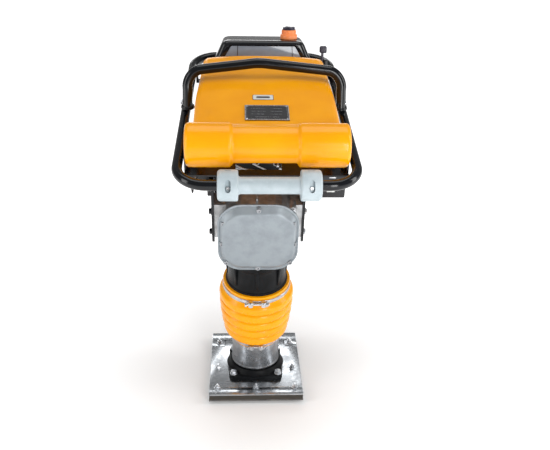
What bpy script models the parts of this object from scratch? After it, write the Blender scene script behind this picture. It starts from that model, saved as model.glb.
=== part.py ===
"""Vibratory tamping rammer: foot, sprung leg, crank drive, engine, handle and hood.

Frame: origin at the centre of the shoe's sole, +Z up, the front of the machine towards -Y.
The leg leans forward. Everything on the leg is modelled in the leaning frame (x, r, t):
r points rearward, square to the leg, and t runs up along the leg's axis.
"""
import math

import bmesh
import bpy
from mathutils import Matrix, Vector

for old in list(bpy.data.objects):
    bpy.data.objects.remove(old, do_unlink=True)

# ---------------------------------------------------------------- driving dimensions
GAP = 0.0003                      # clearance between pieces that touch
LEAN = math.radians(12.0)         # forward lean of the leg
LEG_BASE = (0.0, -0.012, 0.062)   # where the leg's axis meets the foot

SHOE_WIDTH = 0.285
SHOE_LENGTH = 0.345
SOLE_THICK = 0.005
CORE_TOP = 0.030
DECK_TOP = 0.034
TOE_START = -0.100
TOE_RISE = 0.010
HEEL_START = 0.140
HEEL_RISE = 0.006

FLANGE_SIZE = 0.165
FLANGE_Y = -0.018
FLANGE_TOP = 0.048
FLANGE_BOLT_PITCH = 0.1376
BOSS_RADIUS = 0.078

LEG_RADIUS = 0.073
LEG_BORE = 0.064
LEG_TOP = 0.305
LEG_FLOOR = 0.024
SPRING_RADIUS = 0.050
SPRING_WIRE = 0.006
ROD_RADIUS = 0.016
PISTON_LOW = 0.145
PISTON_TOP = 0.165

BELLOWS_LOW = 0.114
BELLOWS_TOP = 0.336
BELLOWS_CREST = 0.110            # radius of the widest fold
BELLOWS_LIP = 0.0965
BELLOWS_WALL = 0.004
GUIDE_BORE = 0.0738
GUIDE_RADIUS = 0.081
GUIDE_SEAT = 0.090

CASE_CENTRE = 0.5435              # height of the cover's centre along the leg
CASE_WIDTH = 0.210
CASE_HEIGHT = 0.1985
CASE_CORNER = 0.060
CASE_BULGE = 0.004
CASE_FRONT = -0.088
CASE_REAR = 0.075
CASE_WALL = 0.008
COVER_FACE = -0.110
CASE_FOOT = CASE_CENTRE - CASE_HEIGHT / 2 - 0.006   # flat seat under the crankcase

MODULE = 0.0024
GEAR_TEETH = 60
PINION_TEETH = 11
GEAR_CENTRE = 0.5305              # height of the crank gear's axis along the leg
SHAFT_CENTRE = GEAR_CENTRE + MODULE * (GEAR_TEETH + PINION_TEETH) / 2 + GAP
CRANK_THROW = 0.020
ROD_LENGTH = 0.080                # connecting rod, between centres
GEAR_FACE = (0.022, 0.042)

ENGINE_FRONT = 0.120
ENGINE_REAR = 0.200

BRACKET_X = 0.1165                # inner face of the side brackets
BRACKET_LOW = 0.486
BRACKET_TOP = 0.690               # top of the shelf that the rubber mounts stand on
BRACKET_THICK = 0.0070
MOUNT_RADIUS = 0.016
MOUNT_HEIGHT = 0.022
MOUNT_X = BRACKET_X + 0.026
MOUNT_R = (-0.045, 0.025)         # front and rear mounts

HANDLE_SHIFT = 0.0205             # the handle sits to the right of the leg's axis
TUBE = 0.0135                     # radius of the handle tube
HANDLE_HALF_FRONT = 0.226         # centre of the side tubes at the front corners
HANDLE_HALF_REAR = 0.214
HANDLE_FRONT = (-0.150, 0.738)    # (r, t) of the front cross tube
HANDLE_REAR = (0.552, 0.788)
FRONT_CORNER = 0.076
REAR_CORNER = 0.080
HANDLE_SLOPE = (HANDLE_REAR[1] - HANDLE_FRONT[1]) / (HANDLE_REAR[0] - HANDLE_FRONT[0])

HOOP_TUBE = 0.0140
HOOP_R = 0.198
HOOP_HALF_WIDTH = 0.2135
HOOP_APEX_X = -0.0165            # the lifting point stands over the leg's axis
ROLLER_LENGTH = 0.253
ROLLER_SHIFT = 0.003
DRUM_RADIUS = 0.0385
DRUM_LENGTH = 0.051
SLEEVE_RADIUS = 0.0212
ROLLER_BORE = 0.0143

ROLL_CENTRE = (-0.049, 0.795)     # (r, t) of the hood's rolled front
ROLL_RADIUS = 0.057
HOOD_HALF_WIDTH = 0.2045
HOOD_REAR_WIDTH = 0.178
HOOD_WALL = 0.004
HOOD_CROWN = 0.012                # how far the top falls away towards its sides
HOOD_TOP_FRONT = (-0.040, 0.8426)
HOOD_TOP_MIDDLE = (0.160, 0.8570)
HOOD_TOP_REAR = (0.345, 0.8700)

TANK_Y = (0.203, 0.318)
TANK_Z = (0.900, 1.020)
TANK_SHOULDER = 0.965             # height where the sides start to close in
TANK_TOP_WIDTH = 0.236
TANK_LOW_WIDTH = 0.290
CAP_X = 0.0785
CAP_Y = 0.252
THROTTLE_PIVOT = (0.265, 0.945)   # (y, z)
CABLE_RADIUS = 0.0025

# ---------------------------------------------------------------- scene set-up
parts = bpy.data.collections.new("tamping_rammer")
cutters = bpy.data.collections.new("cutters")
bpy.context.scene.collection.children.link(parts)
bpy.context.scene.collection.children.link(cutters)

lean = bpy.data.objects.new("leg_axis", None)
lean.location = LEG_BASE
lean.rotation_euler = (LEAN, 0.0, 0.0)
parts.objects.link(lean)

handle_axis = bpy.data.objects.new("handle_axis", None)
handle_axis.location = (HANDLE_SHIFT, 0.0, 0.0)
handle_axis.parent = lean
parts.objects.link(handle_axis)
bpy.context.view_layer.update()

ALONG_R = (-math.pi / 2, 0.0, 0.0)    # turns an object's own +Z to +r
ALONG_X = (0.0, math.pi / 2, 0.0)     # turns an object's own +Z to +x
FACING_R = (math.pi / 2, 0.0, 0.0)    # stands an x-y outline up in the x-t plane
FACING_X = (math.pi / 2, 0.0, math.pi / 2)   # stands an outline up in the r-t plane


def material(name, color, roughness, metallic=0.0):
    """A plain Principled material."""
    made = bpy.data.materials.new(name)
    made.use_nodes = True
    shader = made.node_tree.nodes["Principled BSDF"]
    shader.inputs["Base Color"].default_value = (*color, 1.0)
    shader.inputs["Roughness"].default_value = roughness
    shader.inputs["Metallic"].default_value = metallic
    return made


YELLOW = material("yellow_paint", (0.90, 0.42, 0.01), 0.25)
RUBBER_YELLOW = material("yellow_rubber", (0.92, 0.36, 0.01), 0.35)
BLACK = material("black_paint", (0.012, 0.013, 0.016), 0.25)
CAST_BLACK = material("black_casting", (0.02, 0.02, 0.022), 0.6)
SATIN_GREY = material("cover_aluminium", (0.40, 0.43, 0.46), 0.45, 0.7)
CAST_GREY = material("cast_aluminium", (0.55, 0.57, 0.60), 0.4, 0.8)
STEEL = material("bright_steel", (0.62, 0.63, 0.65), 0.25, 1.0)
DARK_STEEL = material("dark_steel", (0.20, 0.20, 0.21), 0.4, 1.0)
WOOD = material("laminated_wood", (0.05, 0.04, 0.035), 0.7)
GREY_PLASTIC = material("grey_plastic", (0.62, 0.66, 0.70), 0.45)
BLACK_PLASTIC = material("black_plastic", (0.015, 0.016, 0.02), 0.3)
SLATE_PLASTIC = material("slate_plastic", (0.05, 0.045, 0.08), 0.5)
ORANGE_PLASTIC = material("orange_plastic", (0.80, 0.28, 0.10), 0.4)
RUBBER = material("black_rubber", (0.02, 0.02, 0.02), 0.8)


# ---------------------------------------------------------------- modelling helpers
def place(obj, surface, location=(0, 0, 0), rotation=(0, 0, 0), parent=None, group=parts):
    """Link an object, give it its material and its place."""
    group.objects.link(obj)
    obj.location = location
    obj.rotation_euler = rotation
    obj.parent = parent
    if surface is not None:
        obj.data.materials.append(surface)
    if group is cutters:
        obj.hide_render = True
        obj.display_type = "WIRE"
    return obj


def mesh_from(name, bm):
    """A new mesh object from a bmesh."""
    mesh = bpy.data.meshes.new(name)
    bm.to_mesh(mesh)
    bm.free()
    return bpy.data.objects.new(name, mesh)


def bevel(obj, width, segments=2):
    """Rounded edges."""
    modifier = obj.modifiers.new("rounded_edges", "BEVEL")
    modifier.width = width
    modifier.segments = segments
    modifier.limit_method = "ANGLE"
    modifier.angle_limit = math.radians(40)
    return obj


def block(name, size, surface, location, rotation=(0, 0, 0), parent=None, edge=0.0,
          group=parts, segments=2):
    """A box of the given size, centred on its location."""
    bm = bmesh.new()
    bmesh.ops.create_cube(bm, size=1.0)
    bmesh.ops.scale(bm, vec=size, verts=bm.verts)
    obj = place(mesh_from(name, bm), surface, location, rotation, parent, group)
    if edge:
        bevel(obj, edge, segments)
    return obj


def rod(name, radius, length, surface, location, rotation=(0, 0, 0), parent=None,
        group=parts, sides=24, edge=0.0):
    """A cylinder along its own Z, centred on its location."""
    bm = bmesh.new()
    bmesh.ops.create_cone(bm, cap_ends=True, segments=sides, radius1=radius, radius2=radius,
                          depth=length)
    obj = place(mesh_from(name, bm), surface, location, rotation, parent, group)
    obj.data.shade_smooth()
    obj.data.set_sharp_from_angle(angle=math.radians(35))
    if edge:
        bevel(obj, edge, 1)
    return obj


def turned(name, profile, surface, location=(0, 0, 0), rotation=(0, 0, 0), parent=None,
           sides=32, closed=False, group=parts):
    """A turned shape: a (radius, height) profile spun about its own Z."""
    bm = bmesh.new()
    points = [bm.verts.new((radius, 0.0, height)) for radius, height in profile]
    for first, second in zip(points, points[1:]):
        bm.edges.new((first, second))
    if closed:
        bm.edges.new((points[-1], points[0]))
    obj = place(mesh_from(name, bm), surface, location, rotation, parent, group)
    screw = obj.modifiers.new("turning", "SCREW")
    screw.steps = sides
    screw.render_steps = sides
    screw.use_merge_vertices = True
    screw.merge_threshold = 0.00005
    screw.use_smooth_shade = True
    return obj


def ring(name, inner, outer, low, high, surface, location=(0, 0, 0), rotation=(0, 0, 0),
         parent=None, sides=32, group=parts):
    """A plain ring with a square section."""
    profile = [(outer, high), (outer, low), (inner, low), (inner, high)]
    return turned(name, profile, surface, location, rotation, parent, sides, True, group)


def tube(name, points, radius, surface, parent=None, resolution=4, cyclic=False):
    """A round tube along a polyline."""
    curve = bpy.data.curves.new(name, "CURVE")
    curve.dimensions = "3D"
    curve.bevel_depth = radius
    curve.bevel_resolution = resolution
    curve.use_fill_caps = not cyclic
    spline = curve.splines.new("POLY")
    spline.points.add(len(points) - 1)
    for point, at in zip(spline.points, points):
        point.co = (*at, 1.0)
    spline.use_cyclic_u = cyclic
    return place(bpy.data.objects.new(name, curve), surface, parent=parent)


def outline(name, loops, thickness, surface, location=(0, 0, 0), rotation=(0, 0, 0),
            parent=None, group=parts):
    """A flat plate from closed loops of (x, y); loops after the first are holes."""
    curve = bpy.data.curves.new(name, "CURVE")
    curve.dimensions = "2D"
    curve.fill_mode = "BOTH"
    curve.extrude = thickness / 2
    for loop in loops:
        spline = curve.splines.new("POLY")
        spline.points.add(len(loop) - 1)
        for point, (across, up) in zip(spline.points, loop):
            point.co = (across, up, 0.0, 1.0)
        spline.use_cyclic_u = True
    return place(bpy.data.objects.new(name, curve), surface, location, rotation, parent, group)


def as_mesh(obj):
    """The same object with its curve turned into a welded mesh."""
    bpy.context.view_layer.update()
    seen = obj.evaluated_get(bpy.context.evaluated_depsgraph_get())
    mesh = bpy.data.meshes.new_from_object(seen)
    bm = bmesh.new()
    bm.from_mesh(mesh)
    bmesh.ops.remove_doubles(bm, verts=bm.verts, dist=0.00001)
    bmesh.ops.recalc_face_normals(bm, faces=bm.faces)
    bm.to_mesh(mesh)
    bm.free()
    name = obj.name
    group = obj.users_collection[0]
    world = obj.matrix_world.copy()
    bpy.data.objects.remove(obj, do_unlink=True)
    made = bpy.data.objects.new(name, mesh)
    group.objects.link(made)
    made.matrix_world = world
    if group is cutters:
        made.hide_render = True
        made.display_type = "WIRE"
    return made


def combine(obj, other, operation):
    """A Boolean between a part and a shape that isn't itself a part."""
    modifier = obj.modifiers.new(operation.lower(), "BOOLEAN")
    modifier.operation = operation
    modifier.solver = "EXACT"
    modifier.object = other
    return obj


def arc(centre, radius, start, end, steps):
    """Points on a circle, from one angle to another, in degrees."""
    span = end - start
    angles = [math.radians(start + span * index / steps) for index in range(steps + 1)]
    return [(centre[0] + radius * math.cos(a), centre[1] + radius * math.sin(a)) for a in angles]


def rounded_rectangle(width, height, corner, steps=6, bulge=0.0):
    """A centred rectangle with round corners and sides that bow outwards a little."""
    half_w = width / 2 - corner
    half_h = height / 2 - corner
    centres = [(half_w, half_h), (-half_w, half_h), (-half_w, -half_h), (half_w, -half_h)]
    points = []
    for turn, centre in enumerate(centres):
        points += arc(centre, corner, 90 * turn, 90 * turn + 90, steps)
    bowed = []
    for across, up in points:
        longer = max(abs(across), abs(up))
        shorter = min(abs(across), abs(up))
        stretch = 1 + bulge * (1 - shorter / longer) / longer
        bowed.append((across * stretch, up * stretch))
    return bowed


def circle(centre, radius, sides=24):
    """A round loop."""
    return arc(centre, radius, 0, 360 * (sides - 1) / sides, sides - 1)


def gear_outline(teeth, phase):
    """Straight-flanked gear teeth with running clearance."""
    pitch_radius = MODULE * teeth / 2
    tip = pitch_radius + 0.80 * MODULE
    root = pitch_radius - 1.10 * MODULE
    pitch_angle = 2 * math.pi / teeth
    tip_half = 0.10 * pitch_angle
    root_half = 0.21 * pitch_angle
    points = []
    for index in range(teeth):
        middle = phase + index * pitch_angle
        for radius, offset in ((root, -root_half), (tip, -tip_half), (tip, tip_half),
                               (root, root_half)):
            angle = middle + offset
            points.append((radius * math.cos(angle), radius * math.sin(angle)))
    return points


def coil(radius, low, high, turns, per_turn=10):
    """Points along a compression spring."""
    count = int(turns * per_turn)
    points = []
    for index in range(count + 1):
        angle = 2 * math.pi * index / per_turn
        height = low + (high - low) * index / count
        points.append((radius * math.cos(angle), radius * math.sin(angle), height))
    return points


def smooth_route(stops, steps):
    """A smooth line through hand-chosen stops (Catmull-Rom)."""
    stops = [Vector(stop) for stop in stops]
    padded = [2 * stops[0] - stops[1]] + stops + [2 * stops[-1] - stops[-2]]
    route = []
    for index in range(1, len(padded) - 2):
        before, start, end, after = padded[index - 1:index + 3]
        for step in range(steps):
            u = step / steps
            point = 0.5 * ((2 * start) + (end - before) * u
                           + (2 * before - 5 * start + 4 * end - after) * u ** 2
                           + (3 * start - before - 3 * end + after) * u ** 3)
            route.append(tuple(point))
    route.append(tuple(stops[-1]))
    return route


# ---------------------------------------------------------------- foot
def sole_height(y):
    """Height of the shoe's underside: flat, with a raised toe and heel."""
    front = -SHOE_LENGTH / 2
    rear = SHOE_LENGTH / 2
    if y < TOE_START:
        return TOE_RISE * ((TOE_START - y) / (TOE_START - front)) ** 2
    if y > HEEL_START:
        return HEEL_RISE * ((y - HEEL_START) / (rear - HEEL_START)) ** 2
    return 0.0


def sole_line(offset):
    """The underside from front to rear, lifted by an offset."""
    half = SHOE_LENGTH / 2
    toe = [-half + (TOE_START + half) * step / 5 for step in range(6)]
    heel = [HEEL_START + (half - HEEL_START) * step / 3 for step in range(4)]
    return [(y, sole_height(y) + offset) for y in toe + heel]


def make_shoe():
    """Steel sole, laminated core and bright deck plate."""
    half = SHOE_LENGTH / 2
    sole = sole_line(0.0) + sole_line(SOLE_THICK)[::-1]
    outline("shoe_sole_plate", [sole], SHOE_WIDTH, DARK_STEEL, rotation=FACING_X)
    core = sole_line(SOLE_THICK + GAP) + [(half, CORE_TOP - GAP), (-half, CORE_TOP - GAP)]
    outline("shoe_core", [core], SHOE_WIDTH - 0.002, WOOD, rotation=FACING_X)
    block("shoe_deck_plate", (SHOE_WIDTH, SHOE_LENGTH, DECK_TOP - CORE_TOP), STEEL,
          (0, 0, (DECK_TOP + CORE_TOP) / 2), edge=0.001, segments=1)


def make_foot_flange():
    """Cast square flange with a round boss and four bolts."""
    low = DECK_TOP + GAP
    height = FLANGE_TOP - low
    flange = block("foot_flange", (FLANGE_SIZE, FLANGE_SIZE, height), CAST_BLACK,
                   (0, FLANGE_Y, low + height / 2), edge=0.004)
    boss_low = FLANGE_TOP - 0.004
    boss_top = LEG_BASE[2] - GAP
    boss = rod("boss_shape", BOSS_RADIUS, boss_top - boss_low, None,
               (0, LEG_BASE[1], (boss_top + boss_low) / 2), group=cutters, sides=40)
    combine(flange, boss, "UNION")
    reach = FLANGE_BOLT_PITCH / 2
    corners = ((-reach, -reach), (reach, -reach), (-reach, reach), (reach, reach))
    for number, (x, y) in enumerate(corners, start=1):
        hole = rod(f"flange_hole_{number}", 0.0064, 0.03, None,
                   (x, FLANGE_Y + y, FLANGE_TOP - 0.005), group=cutters, sides=16)
        combine(flange, hole, "DIFFERENCE")
        seat = FLANGE_TOP + GAP
        profile = [(0, seat + 0.0105), (0.0085, seat + 0.0105), (0.0095, seat + 0.0095),
                   (0.0095, seat + 0.0025), (0.0125, seat + 0.0025), (0.0125, seat),
                   (0.006, seat), (0.006, low + 0.001), (0, low + 0.001)]
        turned(f"flange_bolt_{number}", profile, STEEL, (x, FLANGE_Y + y, 0), sides=6)


def make_leg():
    """Spring cylinder, its end cap and the two springs."""
    profile = [(0, LEG_FLOOR), (LEG_BORE, LEG_FLOOR), (LEG_BORE, LEG_TOP),
               (LEG_RADIUS - 0.002, LEG_TOP), (LEG_RADIUS, LEG_TOP - 0.002),
               (LEG_RADIUS, -0.03), (0, -0.03)]
    leg = turned("leg_cylinder", profile, CAST_GREY, parent=lean)
    floor = block("leg_floor_cut", (0.3, 0.3, 0.1), None, (0, LEG_BASE[1], LEG_BASE[2] - 0.05),
                  group=cutters)
    combine(leg, floor, "DIFFERENCE")
    cap_low = LEG_TOP - 0.023
    cap_top = LEG_TOP - 0.005
    ring("leg_end_cap", ROD_RADIUS + 0.0005, LEG_BORE - GAP, cap_low, cap_top, DARK_STEEL,
         parent=lean)
    lift = SPRING_WIRE + GAP + 0.001
    tube("lower_spring", coil(SPRING_RADIUS, LEG_FLOOR + lift, PISTON_LOW - lift, 4.0),
         SPRING_WIRE, DARK_STEEL, lean, 2)
    tube("upper_spring", coil(SPRING_RADIUS, PISTON_TOP + lift, cap_low - lift, 4.0),
         SPRING_WIRE, DARK_STEEL, lean, 2)


def bellows_profile():
    """Outer and inner line of the bellows, from the top lip down."""
    top = BELLOWS_TOP - 0.030
    bottom = BELLOWS_LOW + 0.026
    folds = 5
    pitch = (top - bottom) / folds
    outer = [(BELLOWS_LIP, BELLOWS_TOP), (BELLOWS_LIP, top + 0.002)]
    for fold in range(folds):
        start = top - fold * pitch
        share = fold / (folds - 1)
        crest = BELLOWS_CREST - 0.012 * share ** 2
        valley = BELLOWS_CREST - 0.010 - 0.012 * share
        outer += [(crest, start - 0.30 * pitch), (crest, start - 0.62 * pitch)]
        if fold < folds - 1:
            outer.append((valley, start - pitch))
    outer += [(0.0779, bottom + 0.001), (0.0779, BELLOWS_LOW)]
    inner_seat = LEG_RADIUS + GAP
    inner_top = GUIDE_SEAT + GAP
    inner = [(inner_seat, BELLOWS_LOW), (inner_seat, bottom - 0.002)]
    for radius, height in outer[-3:1:-1]:
        inner.append((radius - BELLOWS_WALL, height))
    inner += [(inner_top, top + 0.004), (inner_top, BELLOWS_TOP)]
    return outer + inner


def make_bellows():
    """Rubber bellows with a clamp at each end."""
    turned("bellows", bellows_profile(), RUBBER_YELLOW, parent=lean, closed=True)
    ring("lower_bellows_clamp", 0.0784, 0.0800, BELLOWS_LOW + 0.006, BELLOWS_LOW + 0.018,
         STEEL, parent=lean)
    ring("upper_bellows_clamp", BELLOWS_LIP + 0.0004, BELLOWS_LIP + 0.0020,
         BELLOWS_TOP - 0.022, BELLOWS_TOP - 0.009, STEEL, parent=lean)


# ---------------------------------------------------------------- crank drive
def make_guide():
    """Cast guide cylinder that the leg slides in, bolted under the crankcase."""
    low = 0.225
    seat_low = BELLOWS_TOP - 0.028
    seat_top = BELLOWS_TOP + 0.001
    flange_low = 0.418
    flange_top = CASE_FOOT - GAP
    profile = [(0.094, flange_top), (0.094, flange_low), (0.084, flange_low - 0.012),
               (0.084, seat_top + 0.010), (GUIDE_SEAT, seat_top), (GUIDE_SEAT, seat_low),
               (GUIDE_RADIUS, seat_low - 0.006), (GUIDE_RADIUS, low), (GUIDE_BORE, low),
               (GUIDE_BORE, flange_top)]
    turned("guide_cylinder", profile, CAST_BLACK, parent=lean, closed=True)


def case_loop(inset):
    """The crankcase's squarish outline, moved inwards by an inset."""
    return rounded_rectangle(CASE_WIDTH - 2 * inset, CASE_HEIGHT - 2 * inset,
                             CASE_CORNER - inset, 6, CASE_BULGE)


def case_solid(name, inset, front, rear, surface, group=parts):
    """A solid with the crankcase's outline between two planes."""
    made = outline(name, [case_loop(inset)], rear - front, surface,
                   (0, (front + rear) / 2, CASE_CENTRE), FACING_R, lean, group)
    return as_mesh(made)


def make_crankcase():
    """Crankcase shell, gasket and front cover."""
    shell = case_solid("crankcase", 0.004, CASE_FRONT, CASE_REAR, CAST_GREY)
    seat = rod("case_seat_shape", 0.074, 0.050, None, (0, 0, CASE_FOOT + 0.025), parent=lean,
               group=cutters, sides=32)
    combine(shell, seat, "UNION")
    pad_inner = 0.070
    pad_outer = BRACKET_X - GAP
    for side in (-1, 1):
        pad = block(f"case_pad_shape_{side + 2}", (pad_outer - pad_inner, 0.060, 0.104), None,
                    (side * (pad_outer + pad_inner) / 2, -0.030, 0.570), parent=lean,
                    group=cutters)
        combine(shell, pad, "UNION")
    cavity = case_solid("case_cavity", 0.004 + CASE_WALL, CASE_FRONT - 0.02,
                        CASE_REAR - CASE_WALL, None, cutters)
    combine(shell, cavity, "DIFFERENCE")
    floor_hole = rod("case_floor_hole", 0.050, 0.06, None,
                     (0, 0, CASE_CENTRE - CASE_HEIGHT / 2), parent=lean, group=cutters)
    combine(shell, floor_hole, "DIFFERENCE")
    gear_hole = rod("gear_shaft_hole", 0.0155, 0.06, None, (0, CASE_REAR, GEAR_CENTRE),
                    ALONG_R, lean, cutters)
    combine(shell, gear_hole, "DIFFERENCE")
    drive_hole = rod("drive_shaft_hole", 0.0100, 0.06, None, (0, CASE_REAR, SHAFT_CENTRE),
                     ALONG_R, lean, cutters)
    combine(shell, drive_hole, "DIFFERENCE")
    gasket = outline("cover_gasket", [case_loop(0.002), case_loop(0.012)], 0.0014,
                     RUBBER, (0, CASE_FRONT - 0.0010, CASE_CENTRE), FACING_R, lean)
    as_mesh(gasket)
    cover_rear = CASE_FRONT - 0.0010 - 0.0007 - GAP
    cover = case_solid("crankcase_cover", 0.0, COVER_FACE, cover_rear, SATIN_GREY)
    bevel(cover, 0.004, 2)
    hollow = case_solid("cover_hollow", 0.016, COVER_FACE + 0.008, cover_rear + 0.01, None,
                        cutters)
    combine(cover, hollow, "DIFFERENCE")


def make_crank_train():
    """Crank gear and pin, connecting rod, piston rod and spring piston."""
    face_middle = (GEAR_FACE[0] + GEAR_FACE[1]) / 2
    gear = outline("crank_gear", [gear_outline(GEAR_TEETH, 0.0)], GEAR_FACE[1] - GEAR_FACE[0],
                   DARK_STEEL, (0, face_middle, GEAR_CENTRE), FACING_R, lean)
    gear = as_mesh(gear)
    shaft_end = CASE_REAR - 0.002
    shaft_start = GEAR_FACE[1] - 0.004
    shaft = rod("gear_shaft_shape", 0.0150, shaft_end - shaft_start, None,
                (0, (shaft_end + shaft_start) / 2, GEAR_CENTRE), ALONG_R, lean, cutters)
    combine(gear, shaft, "UNION")

    pin_height = GEAR_CENTRE + CRANK_THROW
    pin = [(0, 0.0217), (0.0100, 0.0217), (0.0100, -0.0090), (0.0140, -0.0090),
           (0.0140, -0.0120), (0, -0.0120)]
    turned("crank_pin", pin, STEEL, (0, 0, pin_height), ALONG_R, lean, 24)

    small_height = pin_height - ROD_LENGTH
    big, small = 0.0200, 0.0120
    tilt = math.degrees(math.asin((big - small) / ROD_LENGTH))
    loop = arc((0, 0), big, -tilt, 180 + tilt, 14)
    loop += arc((0, -ROD_LENGTH), small, 180 + tilt, 360 - tilt, 10)
    link = outline("connecting_rod", [loop, circle((0, 0), 0.0105)], 0.014, CAST_GREY,
                   (0, 0, pin_height), FACING_R, lean)
    as_mesh(link)

    fork_low = small_height - 0.085
    fork_top = small_height + 0.018
    slot_floor = small_height - 0.065
    rod_low = PISTON_TOP + GAP
    shank = rod("piston_rod", ROD_RADIUS, fork_low + 0.005 - rod_low, STEEL,
                (0, 0, (fork_low + 0.005 + rod_low) / 2), parent=lean)
    fork = block("fork_shape", (0.044, 0.036, fork_top - fork_low), None,
                 (0, 0, (fork_top + fork_low) / 2), parent=lean, group=cutters)
    combine(shank, fork, "UNION")
    slot = block("fork_slot", (0.06, 0.0160, 0.2), None, (0, 0, slot_floor + 0.1),
                 parent=lean, group=cutters)
    combine(shank, slot, "DIFFERENCE")
    rod("spring_piston", LEG_BORE - 0.003, PISTON_TOP - PISTON_LOW, DARK_STEEL,
        (0, 0, (PISTON_TOP + PISTON_LOW) / 2), parent=lean, sides=36)


def make_clutch():
    """Centrifugal clutch: drum with its pinion, hub, and the housing around them."""
    ring("clutch_housing", 0.0540, 0.0620, CASE_REAR + GAP, ENGINE_FRONT - GAP, CAST_GREY,
         (0, 0, SHAFT_CENTRE), ALONG_R, lean)
    phase = -math.pi / 2 + math.pi / PINION_TEETH
    pinion = outline("clutch_drum", [gear_outline(PINION_TEETH, phase)], 0.024, DARK_STEEL,
                     (0, 0.032, SHAFT_CENTRE), FACING_R, lean)
    pinion = as_mesh(pinion)
    cup = [(0, 0.112 - 0.026), (0.0430, 0.112 - 0.026), (0.0430, 0.112), (0.0470, 0.112),
           (0.0470, 0.082), (0.0090, 0.082), (0.0090, 0.040), (0, 0.040)]
    drum = turned("clutch_cup_shape", cup, None, (0, 0, SHAFT_CENTRE), ALONG_R, lean,
                  32, group=cutters)
    combine(pinion, drum, "UNION")
    hub = [(0, 0.1105), (0.0400, 0.1105), (0.0400, 0.0900), (0, 0.0900)]
    turned("clutch_hub", hub, STEEL, (0, 0, SHAFT_CENTRE), ALONG_R, lean, 32)


# ---------------------------------------------------------------- engine
def make_engine():
    """Engine block, finned cylinder, shaft, flywheel, shroud, starter and fittings."""
    middle = (ENGINE_FRONT + ENGINE_REAR) / 2
    depth = ENGINE_REAR - ENGINE_FRONT
    body = block("engine_block", (0.150, depth, 0.150), CAST_GREY,
                 (0, middle, SHAFT_CENTRE - 0.004), parent=lean, edge=0.012)
    bore = rod("shaft_bore", 0.0115, 0.2, None, (0, middle, SHAFT_CENTRE), ALONG_R, lean,
               cutters)
    combine(body, bore, "DIFFERENCE")

    cylinder_middle = (0.128, middle, SHAFT_CENTRE + 0.052)
    turn = (0, math.radians(65), 0)
    cylinder = rod("cylinder_head", 0.040, 0.094, CAST_GREY, cylinder_middle, turn, lean)
    across = Matrix.Rotation(turn[1], 4, "Y") @ Vector((0, 0, 1))
    for index in range(6):
        shift = across * (-0.030 + 0.014 * index)
        place_at = Vector(cylinder_middle) + shift
        fin = block(f"fin_shape_{index}", (0.100, 0.078, 0.004), None, place_at, turn, lean,
                    group=cutters)
        combine(cylinder, fin, "UNION")
    root_cut = block("cylinder_root_cut", (0.152, 0.2, 0.152), None,
                     (0, middle, SHAFT_CENTRE - 0.004), parent=lean, group=cutters)
    combine(cylinder, root_cut, "DIFFERENCE")
    tip = Vector(cylinder_middle) + across * 0.0478
    rod("spark_plug_cap", 0.009, 0.020, RUBBER, tip + across * 0.0103, turn, lean, sides=12)

    crank = [(0, 0.2950), (0.0100, 0.2950), (0.0100, 0.1108), (0, 0.1108)]
    turned("engine_crankshaft", crank, STEEL, (0, 0, SHAFT_CENTRE), ALONG_R, lean, 20)
    ring("flywheel_fan", 0.0103, 0.0850, 0.212, 0.238, CAST_GREY, (0, 0, SHAFT_CENTRE),
         ALONG_R, lean)
    shroud = [(0.0500, 0.2590), (0.1040, 0.2590), (0.1100, 0.2530), (0.1100, ENGINE_REAR + GAP),
              (0.1070, ENGINE_REAR + GAP), (0.1070, 0.2520), (0.1030, 0.2560),
              (0.0500, 0.2560)]
    turned("fan_shroud", shroud, BLACK_PLASTIC, (0, 0, SHAFT_CENTRE), ALONG_R, lean,
           40, True)
    starter = [(0, 0.3040), (0.0620, 0.3040), (0.0720, 0.2960), (0.0760, 0.2596),
               (0.0720, 0.2596), (0.0690, 0.2930), (0.0610, 0.3000), (0, 0.3000)]
    turned("recoil_cover", starter, BLACK_PLASTIC, (0, 0, SHAFT_CENTRE), ALONG_R, lean, 40)
    grip_r = 0.3045
    grip = [(0, grip_r + 0.026), (0.007, grip_r + 0.026), (0.0090, grip_r + 0.021),
            (0.0060, grip_r + 0.010), (0.0080, grip_r), (0, grip_r)]
    turned("recoil_grip", grip, BLACK_PLASTIC, (0.048, 0, SHAFT_CENTRE + 0.030), ALONG_R,
           lean, 16)

    block("muffler", (0.080, 0.070, 0.058), DARK_STEEL, (0.045, 0.235, SHAFT_CENTRE + 0.150),
          parent=lean, edge=0.010)
    block("carburettor", (0.046, 0.050, 0.056), CAST_GREY,
          (-0.050, middle - 0.004, SHAFT_CENTRE + 0.1000), parent=lean, edge=0.004, segments=1)
    block("air_cleaner", (0.082, 0.084, 0.078), BLACK_PLASTIC,
          (-0.118, middle - 0.004, SHAFT_CENTRE + 0.110), parent=lean, edge=0.010)
    lever = block("choke_lever", (0.006, 0.004, 0.034), SLATE_PLASTIC,
                  (-0.044, middle - 0.034, SHAFT_CENTRE + 0.112), parent=lean)
    bevel(lever, 0.001, 1)
    block("engine_switch", (0.020, 0.006, 0.014), SLATE_PLASTIC,
          (-0.090, 0.2634, SHAFT_CENTRE + 0.010), parent=lean, edge=0.001, segments=1)


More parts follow.
